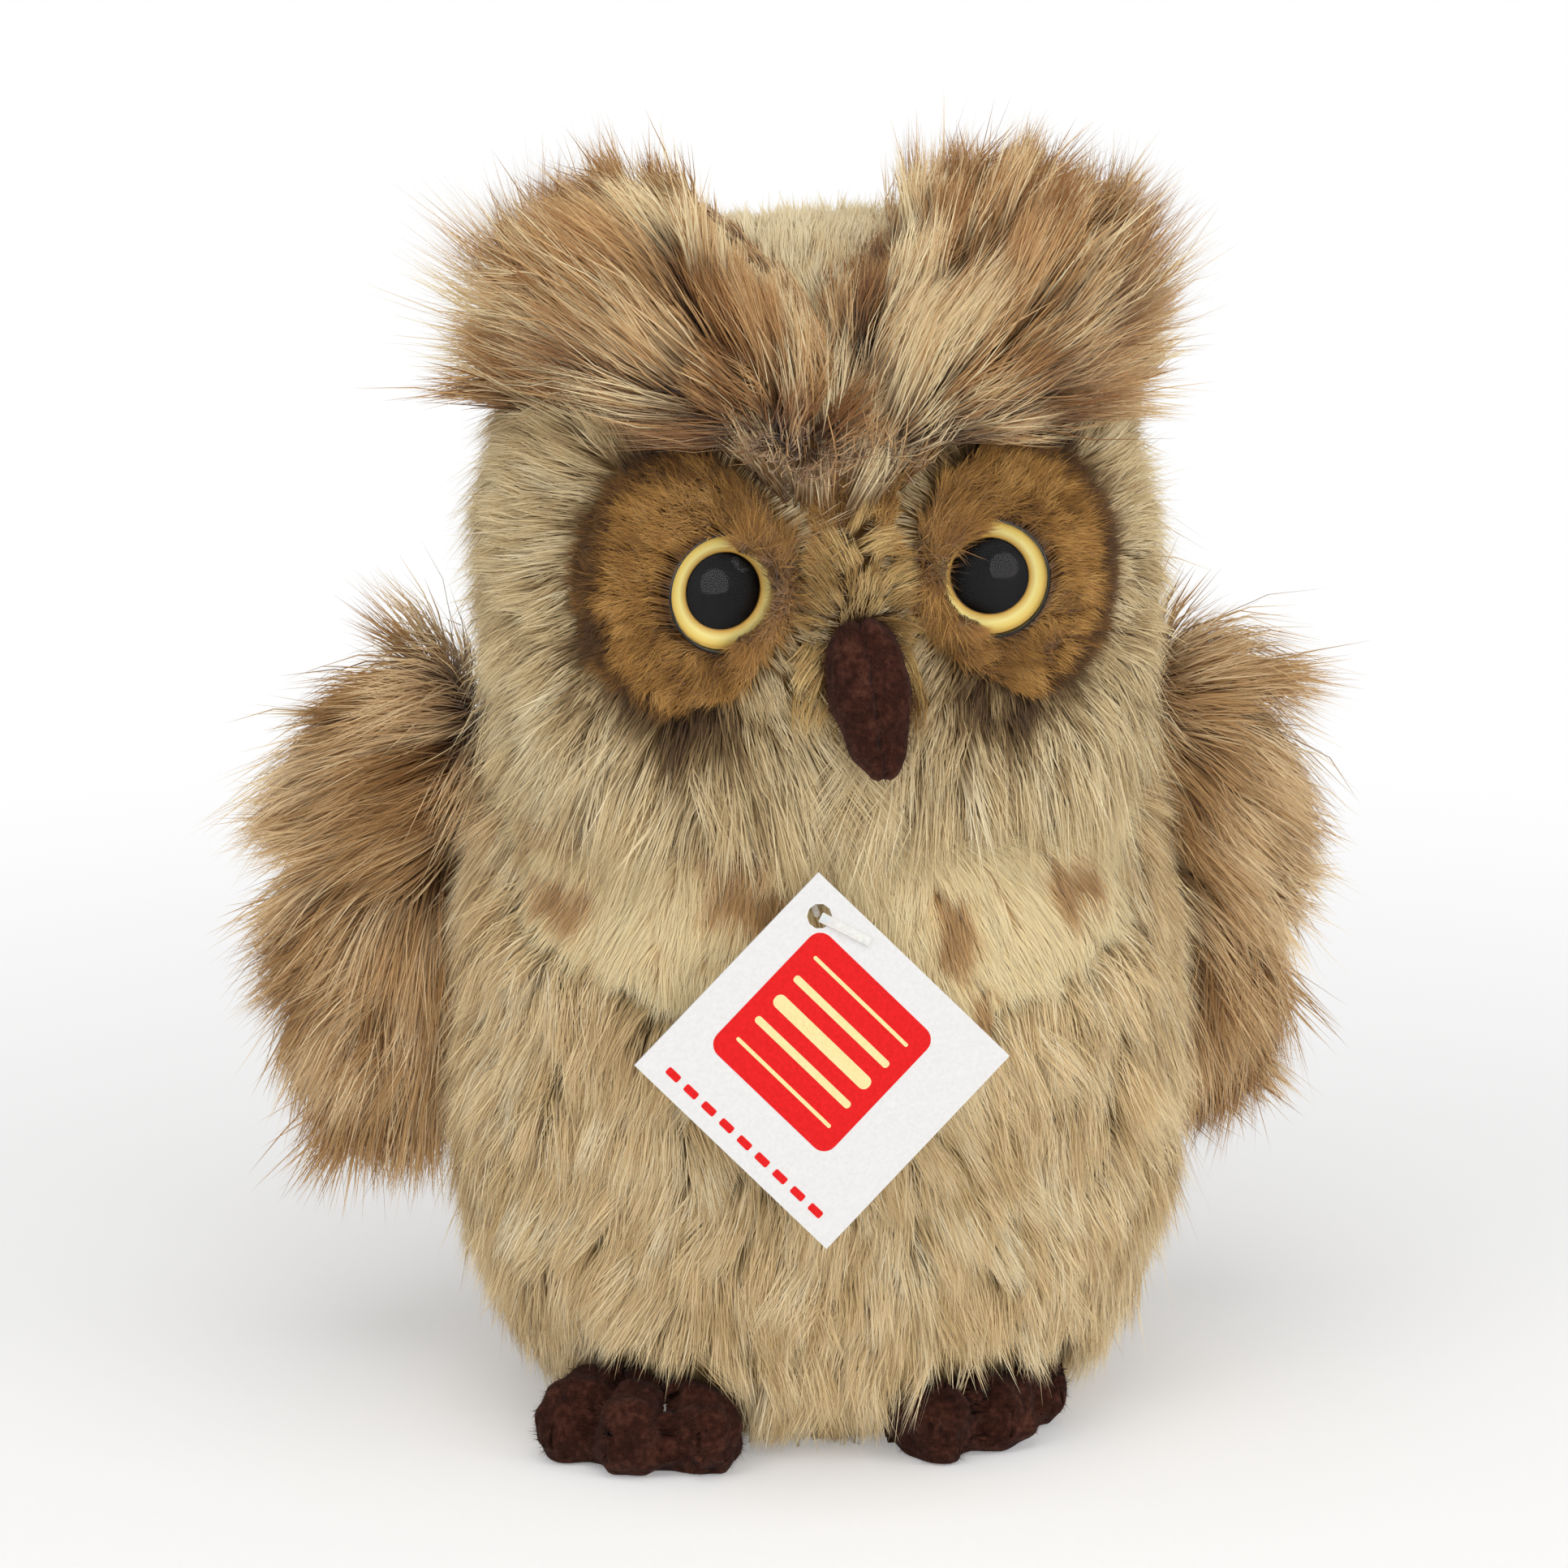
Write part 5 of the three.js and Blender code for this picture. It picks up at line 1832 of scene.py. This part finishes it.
    def disc_tone(self, places: Array) -> Array:
        """Returns the discs' tone, darker towards their outer rims: partly the plush's own dye, partly
        painted shade cast by the pile round them.
        """
        across = places[:, 0]
        left, right = (self.discs[side][0] for side in Side)
        outer = ease(np.where(across > 0, across - left, right - across), *self.nose_side)
        edge = ease(self.apart(places), *self.disc_edge)
        return self.disc_patches(places) - self.disc_dark * edge * outer

    def disc_share(self, places: Array, side: Side) -> Array:
        """Returns how far out places lie from a disc's middle, as a share of the way to its rim."""
        away = (places - self.discs[side])[:, [0, 2]] / np.array(self.disc_half)
        return np.linalg.norm(away, axis=1) + ease(places[:, 1], *self.face_depth)

    def apart(self, places: Array) -> Array:
        """Returns the same share for the nearer of both discs."""
        return np.min([self.disc_share(places, side) for side in Side], axis=0)

    def settle(self, runs: Array) -> Array:
        """Returns strands laid over the eyes."""
        for eye in self.eyes.values():
            runs = eye.drape(runs)
        return runs

    def keep(self, runs: Array) -> Array:
        """Returns which strands pass clear of the eyes and the beak."""
        clear = np.all([eye.clear(runs, self.eye_proud) for eye in self.eyes.values()], axis=0)
        return clear & self.beak.misses(runs)

    def dress(self) -> None:
        """Makes the panels' backings and grows their piles."""
        cheek = Cover(
            self.cheek, self.comb_side(Side.LEFT), self.cheek_tone, self.cheek_finish, "head_plush",
            self.cheek_shares,
        )
        disc = Cover(
            self.disc, self.comb_disc(Side.LEFT), self.disc_tone, self.disc_finish, "disc_plush",
            self.disc_shares,
        )
        covers = {
            "head_left_panel": cheek,
            "head_right_panel": replace(cheek, comb=self.comb_side(Side.RIGHT)),
            "head_crown_gusset": replace(
                cheek, pile=self.crown, comb=self.comb_crown, tone=self.crown_patches
            ),
            "face_bridge_panel": Cover(
                self.bridge, self.comb_bridge, self.bridge_tone, self.bridge_finish, "bridge_plush",
                self.bridge_shares,
            ),
            "left_eye_disc": disc,
            "right_eye_disc": replace(disc, comb=self.comb_disc(Side.RIGHT)),
        }
        roots = self.form.roots(self.disc.density, seed=12)
        self.share_out(roots)
        cover_panels(self.form, covers, roots, self.disc.density, 201, self.settle, self.keep)

    def share_out(self, roots: dict[str, Roots]) -> None:
        """Shares out the bridge's roots that the discs and cheeks lap over, and the banks to the discs."""
        bridge = roots["face_bridge_panel"]
        bridge = bridge.only(bridge.places[:, 2] < self.bridge_top)
        chin = bridge.places[:, 2] < self.chin_top + self.chin_blend * chance_of(len(bridge.places))
        beside = self.beside_bridge(bridge.places) & ~chin
        for seed, (side, eye) in enumerate(self.eyes.items(), start=251):
            half = (bridge.places[:, 0] - self.bridge_middle) * side.sign > 0
            disc, cheek = f"{side.value}_eye_disc", f"head_{side.value}_panel"
            bank = eye.bank(self.disc.density, seed)
            roots[disc] = roots[disc].with_more(bridge.only(beside & half)).with_more(bank)
            roots[cheek] = roots[cheek].with_more(bridge.only(chin & half))
        roots["face_bridge_panel"] = bridge.only(~beside & ~chin)


@dataclass(frozen=True)
class TuftLay:
    """How one tuft lies.

    Attributes:
        gap: From the middle of the crown to its inner edge.
        rise: How far its strands turn up, as a share of their way out.
    """

    gap: float
    rise: float


@dataclass
class BrowTufts:
    """The long pile from the middle of the brow out to both ear tips."""

    head: PlushHead
    pile: Pile = Pile(
        length=0.0205, density=7.5, width=0.00019, lift=23, sink=0.0020, wisp=0.0020, lock=0.0055,
        wisp_gather=0.74, lock_gather=0.34, lock_turn=14, waver=12, spread=0.26, scatter=0.08, segments=3,
        ripple=0.3, tone_spread=0.30,
    )
    finish: PileFinish = PileFinish(
        "tuft_pile",
        roots=((0.0, (74, 44, 16)), (1.0, (128, 88, 46))),
        tips=((0.0, (150, 100, 52)), (0.45, (218, 174, 118)), (0.85, (255, 236, 190))),
        pale_from=0.12, pale_by=0.85,
    )
    lays: dict[Side, TuftLay] = field(
        default_factory=lambda: {Side.LEFT: TuftLay(0.0165, -0.08), Side.RIGHT: TuftLay(0.0095, -0.14)}
    )
    patches: Patches = Patches(0.5, 0.14, 0.012, 9)
    source: Place = (-0.0006, -0.040, 0.132)  # which every strand streams from
    brow_low: float = 0.1490  # the lowest point of the brow
    brow_rise: float = 0.0130  # from there to its edge over the eyes
    brow_reach: float = 0.022  # from the middle to where its edge has risen
    brow_front: float = -0.012  # how far back it grows on the head itself
    outward: float = 0.8  # how much more the ears stream out than the middle does
    outward_from: Range = (0.012, 0.045)
    crown_middle: float = -0.0047
    parting: Range = (0.183, 0.196)  # the heights between which the crown opens
    gap_wobble: Patches = Patches(0, 0.0028, 0.005, 7)
    crown_end: float = 0.189  # how high the short hair in the middle reaches
    draw_source: Place = (-0.0006, -0.034, 0.172)
    draw_in: float = 0.25
    short_share: float = 0.65  # of the length, at the lowest point of the brow
    ear_trim: float = 0.38  # of the length, at the ears' tops
    ear_heights: Range = (0.180, 0.198)
    fan: Range = (0.010, 0.040)  # from the source, over which the strands grow longer
    crown_half: Range = (0.008, 0.018)  # from the crown's middle, where its short hair ends
    least_room: float = 0.25  # of the length, that every strand keeps
    ripple_pitch: float = 0.02
    head_margin: float = 0.0008  # how near the head's form a tuft's own root may not lie
    tuft_margin: float = 0.0005  # how near a tuft's form a root of its brow may not lie
    brow_seeds: int = 40  # from a tuft's seed to its brow's

    def edge(self, across: Array) -> Array:
        """Returns the height of the brow's lower edge over the eyes."""
        return self.brow_low + self.brow_rise * ease(np.abs(across - self.source[0]), 0, self.brow_reach)

    def comb(self, side: Side) -> Comb:
        """Returns the comb of a tuft: a fan up from the middle of the brow that leaves the crown bare."""
        lay = self.lays[side]

        def flow(places: Array, normals: Array) -> Array:
            away = unit(places - np.array(self.source))
            away[:, 0] *= 1 + self.outward * ease(np.abs(places[:, 0] - self.source[0]), *self.outward_from)
            away[:, 2] += lay.rise * np.abs(away[:, 0])
            return away

        return flow

    def keep(self, runs: Array, side: Side) -> Array:
        """Returns which strands stay over the brow's edge and clear of the face and the bare crown."""
        out = (runs[..., 0] - self.crown_middle) * side.sign
        gap = self.lays[side].gap + self.gap_wobble(runs[0])
        on_crown = out < gap * ease(runs[..., 2], *self.parting)
        on_crown &= runs[..., 2] > self.parting[0]
        low = runs[..., 2] < self.edge(runs[..., 0])
        return self.head.keep(runs) & ~on_crown.any(axis=0) & ~low.any(axis=0)

    def ripples(self, seed: int) -> Tone:
        """Returns the waves across the way that the tuft streams."""

        def waves(places: Array) -> Array:
            far = np.linalg.norm(places - np.array(self.source), axis=1)
            return slow_noise(far[:, None] * np.ones(3), self.ripple_pitch, seed)

        return waves

    def brow_roots(self, side: Side, seed: int) -> Roots:
        """Returns the roots on the head itself, from the brow's edge up to the tuft."""
        panels = iter(self.head.form.roots(self.pile.density, seed).values())
        found = next(panels)
        for more in panels:
            found = found.with_more(more)
        across, back, height = found.places.T
        beside = (across - self.source[0]) * side.sign > 0
        return found.only(beside & (height > self.edge(across)) & (back < self.brow_front))

    def dress(self) -> None:
        """Makes both tufts."""
        for seed, side in enumerate(Side, start=301):
            node = f"{side.value}_brow_tuft"
            form = Form(f"{node}_form", (node,), voxel=0.0015, smoothing=10).model()
            form.draw_in(np.array(self.draw_source), self.draw_in)
            roots = form.roots(self.pile.density, seed)[node]
            roots = roots.only(~self.head.form.holds(roots.places, self.head_margin))
            brow = self.brow_roots(side, seed + self.brow_seeds)
            roots = roots.with_more(brow.only(~form.holds(brow.places, self.tuft_margin)))
            coat = Coat(self.pile, self.comb(side), self.patches, seed, shorten=self.shares)
            coat.keep = lambda runs, side=side: self.keep(runs, side)
            coat.ruffle = self.ripples(seed)
            coat.cover(form, node, roots, self.finish, "tuft_plush", "body")
            form.drop()

    def shares(self, places: Array) -> Array:
        """Returns how long the strands are, as a share of the full length."""
        far = ease(np.linalg.norm(places - np.array(self.source), axis=1), *self.fan)
        middle = 1 - ease(np.abs(places[:, 0] - self.crown_middle), *self.crown_half)
        room = np.clip((self.crown_end - places[:, 2]) / self.pile.length, self.least_room, 1)
        ears = 1 - self.ear_trim * ease(places[:, 2], *self.ear_heights)
        return (self.short_share + (1 - self.short_share) * far) * (1 - middle * (1 - room)) * ears


@dataclass
class Wings:
    """Both wings, which ride on bodies of their own."""

    body: PlushBody
    stuffing: Stuffing
    front: Pile = Pile(
        length=0.020, density=6.0, width=0.00019, lift=23, sink=0.0030, wisp=0.0020, lock=0.0065,
        wisp_gather=0.52, lock_gather=0.25, lock_turn=17, waver=16, spread=0.16, scatter=0.09, segments=3,
        droop=0.06, ripple=0.35, tone_spread=0.24,
    )
    rear: Pile = replace(
        front, density=2.8, width=0.00030, lift=21, wisp=0.0022, wisp_gather=0.5, ripple=0.25
    )
    finish: PileFinish = PileFinish(
        "wing_pile",
        roots=((0.0, (84, 52, 20)), (1.0, (138, 98, 52))),
        tips=((0.0, (150, 106, 56)), (0.45, (208, 166, 112)), (0.9, (252, 226, 180))),
        pale_from=0.12, pale_by=0.85,
    )
    patches: Patches = Patches(0.52, 0.12, 0.014, 10)
    source: Place = (0.036, 0.0, 0.116)  # which the left wing's strands stream from
    draw_in: float = 0.18
    fall: float = 0.26  # how much further down they lie
    body_margin: float = 0.0015  # how near the body's form no strand starts
    shade: Range = (0.052, 0.066)  # how far out the dark of the shoulder ends
    shade_by: float = 0.1
    ripple_pitch: float = 0.011
    ripple_width: float = 0.018  # of the waves' noise, for each radian round the shoulder

    def comb(self, source: Array) -> Comb:
        """Returns the comb that streams from the shoulder, out and down."""

        def flow(places: Array, normals: Array) -> Array:
            return unit(places - source) + np.array([0, 0, -self.fall])

        return flow

    def tone(self, places: Array) -> Array:
        """Returns the wings' tone, darker towards the shoulder."""
        near = 1 - ease(np.abs(places[:, 0]), *self.shade)
        return self.patches(places) - self.shade_by * near

    def ripples(self, source: Array, seed: int) -> Tone:
        """Returns the waves that the long pile lies in, which run across the way it streams."""

        def waves(places: Array) -> Array:
            away = places - source
            turn = np.arctan2(away[:, 2], np.hypot(away[:, 0], away[:, 1]))
            polar = np.stack([np.linalg.norm(away, axis=1), turn * self.ripple_width, 0 * turn], axis=1)
            return slow_noise(polar, self.ripple_pitch, seed)

        return waves

    def dress(self) -> None:
        """Makes both wings."""
        for number, side in enumerate(Side):
            name = f"{side.value}_wing"
            faces = {f"{name}_front_panel": self.front, f"{name}_back_panel": self.rear}
            filling = f"{name}_filling"
            form = Form(f"{name}_form", tuple(faces), (filling,), voxel=0.002, smoothing=10).model()
            source = np.array(self.source) * np.array([side.sign, 1, 1])
            form.draw_in(source, self.draw_in)
            self.stuffing.lump(filling, name, self.stuffing.voxel, source, self.draw_in)
            roots = form.roots(self.front.density, seed=21 + number)
            for seed, (node, pile) in enumerate(faces.items(), start=401 + 10 * number):
                starts = roots[node]
                starts = starts.only(~self.body.form.holds(starts.places, self.body_margin))
                count = int(len(starts.places) * pile.density / self.front.density)
                starts = starts.thinned(count, np.random.default_rng(seed))
                coat = Coat(pile, self.comb(source), self.tone, seed, on_floor)
                coat.ruffle = self.ripples(source, seed)
                coat.cover(form, node, starts, self.finish, "wing_plush", name)
            form.drop()


@dataclass(frozen=True)
class Lamp:
    """A round softbox that looks at the owl.

    Attributes:
        name: Its name.
        azimuth: Degrees round from the front, towards the owl's left.
        elevation: Degrees up.
        distance: From the owl.
        radius: Of its front.
        light: What it gives on a surface that faces it, where 1 shows a colour as it is written.
    """

    name: str
    azimuth: float
    elevation: float
    distance: float
    radius: float
    light: float

    @property
    def power(self) -> float:
        """Its power in watts."""
        return self.light * math.pi**2 * self.distance**2


@dataclass
class Studio:
    """The floor, the lights and the camera."""

    distance: float = 0.9
    azimuth: float = -5
    elevation: float = 14
    lens: float = 130.1
    sensor: float = 36
    target: Place = (-0.0049, 0.0004, 0.0996)
    floor_size: float = 12
    floor_level: float = 0.92
    floor_glow: float = 0.23
    floor_fade: Range = (0.10, 0.46)  # from the middle, where the shadow gives way to plain white
    surroundings: float = 0.38  # how bright they are
    lamps: tuple[Lamp, ...] = (
        Lamp("front_softbox", 10, 8, 1.1, 0.36, 0.27),
        Lamp("top_softbox", -10, 72, 1.1, 0.45, 0.28),
        Lamp("left_softbox", -48, 36, 1.4, 0.35, 0.13),
        Lamp("right_softbox", 55, 30, 1.4, 0.35, 0.16),
    )

    def towards(self, azimuth: float, elevation: float) -> Vector:
        """Returns the direction from the owl at these degrees."""
        turn, rise = math.radians(azimuth), math.radians(elevation)
        return Vector((math.sin(turn) * math.cos(rise), -math.cos(turn) * math.cos(rise), math.sin(rise)))

    def aim(
        self, name: str, data: bpy.types.Camera | bpy.types.Light, out: Vector, distance: float
    ) -> bpy.types.Object:
        """Adds a camera or a lamp that looks at the owl from a direction."""
        item = bpy.data.objects.new(name, data)
        item.location = Vector(self.target) + out * distance
        item.rotation_euler = (-out).to_track_quat("-Z", "Y").to_euler()
        bpy.context.scene.collection.objects.link(item)
        return item

    def camera(self) -> None:
        """Sets the camera at the photograph's angle."""
        data = bpy.data.cameras.new("camera")
        data.lens = self.lens
        data.sensor_width = self.sensor
        out = self.towards(self.azimuth, self.elevation)
        bpy.context.scene.camera = self.aim("camera", data, out, self.distance)

    def light(self, lamp: Lamp) -> None:
        """Adds a softbox, which the camera doesn't see."""
        data = bpy.data.lights.new(lamp.name, "AREA")
        data.shape = "DISK"
        data.size = 2 * lamp.radius
        data.energy = lamp.power
        out = self.towards(lamp.azimuth, lamp.elevation)
        self.aim(lamp.name, data, out, lamp.distance).visible_camera = False

    def seen_plainly(self, nodes: bpy.types.Nodes, links: bpy.types.NodeLinks) -> Socket:
        """Returns 1 for rays from the camera and those that glass or gloss sends on, and 0 for others."""
        path = nodes.new("ShaderNodeLightPath")
        seen = path.outputs["Is Camera Ray"]
        for name in ("Is Transmission Ray", "Is Glossy Ray"):
            either = nodes.new("ShaderNodeMath")
            either.operation = "MAXIMUM"
            links.new(seen, either.inputs[0])
            links.new(path.outputs[name], either.inputs[1])
            seen = either.outputs[0]
        return seen

    def world(self) -> None:
        """Lights the owl from all round and shows white behind it."""
        world = bpy.data.worlds.new("studio")
        bpy.context.scene.world = world
        world.use_nodes = True
        nodes, links = world.node_tree.nodes, world.node_tree.links
        background = nodes["Background"]
        level = nodes.new("ShaderNodeMapRange")
        level.inputs["To Min"].default_value = self.surroundings
        level.inputs["To Max"].default_value = 1.0
        links.new(self.seen_plainly(nodes, links), level.inputs["Value"])
        links.new(level.outputs["Result"], background.inputs["Strength"])
        background.inputs["Color"].default_value = (1, 1, 1, 1)

    def floor(self) -> None:
        """Lays a white floor that keeps the owl's shadow near it."""
        floor = added(bpy.ops.mesh.primitive_plane_add, "floor", size=self.floor_size)
        shader = Shader("studio_floor")
        level = self.floor_level
        shader.set(Base_Color=(level, level, level, 1), Roughness=0.9, Specular_IOR_Level=0.0)
        glow, white = (shader.add("ShaderNodeEmission") for _ in range(2))
        glow.inputs["Strength"].default_value = self.floor_glow
        lit = shader.add("ShaderNodeAddShader")
        shader.join(shader.surface.outputs[0], lit.inputs[0])
        shader.join(glow.outputs[0], lit.inputs[1])
        far = shader.spread(shader.length(shader.place()), self.floor_fade, smooth=True)
        plainly = self.seen_plainly(shader.nodes, shader.material.node_tree.links)
        seen = shader.blend(far, lit.outputs[0], white.outputs[0])
        shader.join(shader.blend(plainly, shader.surface.outputs[0], seen), shader.output.inputs["Surface"])
        floor.data.materials.append(shader.material)

    def build(self) -> None:
        """Sets up the whole studio."""
        self.camera()
        self.world()
        self.floor()
        for lamp in self.lamps:
            self.light(lamp)
        bpy.context.scene.view_settings.view_transform = "Standard"


TOE_STITCHES = {  # where a foot's stitches would meet, and how many degrees each turns to the owl's left
    Side.LEFT: ((0.013, -0.018), (24.5, 57.5)),
    Side.RIGHT: ((-0.025, -0.021), (-37.5, -4.5)),
}


def felt_shapes() -> dict[str, FeltShape]:
    """Returns the forms of the beak and both feet."""
    halves = tuple(f"beak_{side.value}_felt" for side in Side)
    beak = FeltShape("beak_form", halves, ("beak_filling",), voxel=0.0006, smoothing=4)
    shapes = {"beak": beak.model()}
    beak.sewn(*halves)
    for side in Side:
        name = f"{side.value}_foot"
        foot = FeltShape(
            f"{name}_form", (f"{name}_felt", f"{name}_sole"), (f"{name}_filling",),
            voxel=0.0007, smoothing=4, closing=0.0045, lump=0.0004, seed=520 + side.sign,
        )
        shapes[name] = foot.model()
        foot.grooved(*TOE_STITCHES[side])
    return shapes


def main() -> None:
    """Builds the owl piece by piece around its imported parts."""
    logging.basicConfig(level=logging.INFO, format="%(message)s")
    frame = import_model()
    LOG.info("loaded %d packed nodes", len(frame["nodes"]))
    Studio().build()
    tag = HangTag()
    eyes = {side: Eye(side) for side in Side}
    felts = felt_shapes()
    head = PlushHead(eyes, felts["beak"].form)
    body = PlushBody(tag, [felts[f"{side.value}_foot"].form for side in Side])
    head.model()
    body.model()
    tag.dress()
    for eye in eyes.values():
        eye.dress()
    felt, fuzz = BROWN_FELT.material(), FUZZ_FINISH.strands()
    for shape in felts.values():
        shape.dress(felt, fuzz)
    stuffing = Stuffing()
    stuffing.dress()
    head.dress()
    body.dress(head)
    BrowTufts(head).dress()
    Wings(body, stuffing).dress()
    for form in (head.form, body.form, *(shape.form for shape in felts.values())):
        form.drop()
    LOG.info("%d triangles in all", sum(count_triangles(o) for o in bpy.data.objects if o.type == "MESH"))


if __name__ == "__main__":
    main()
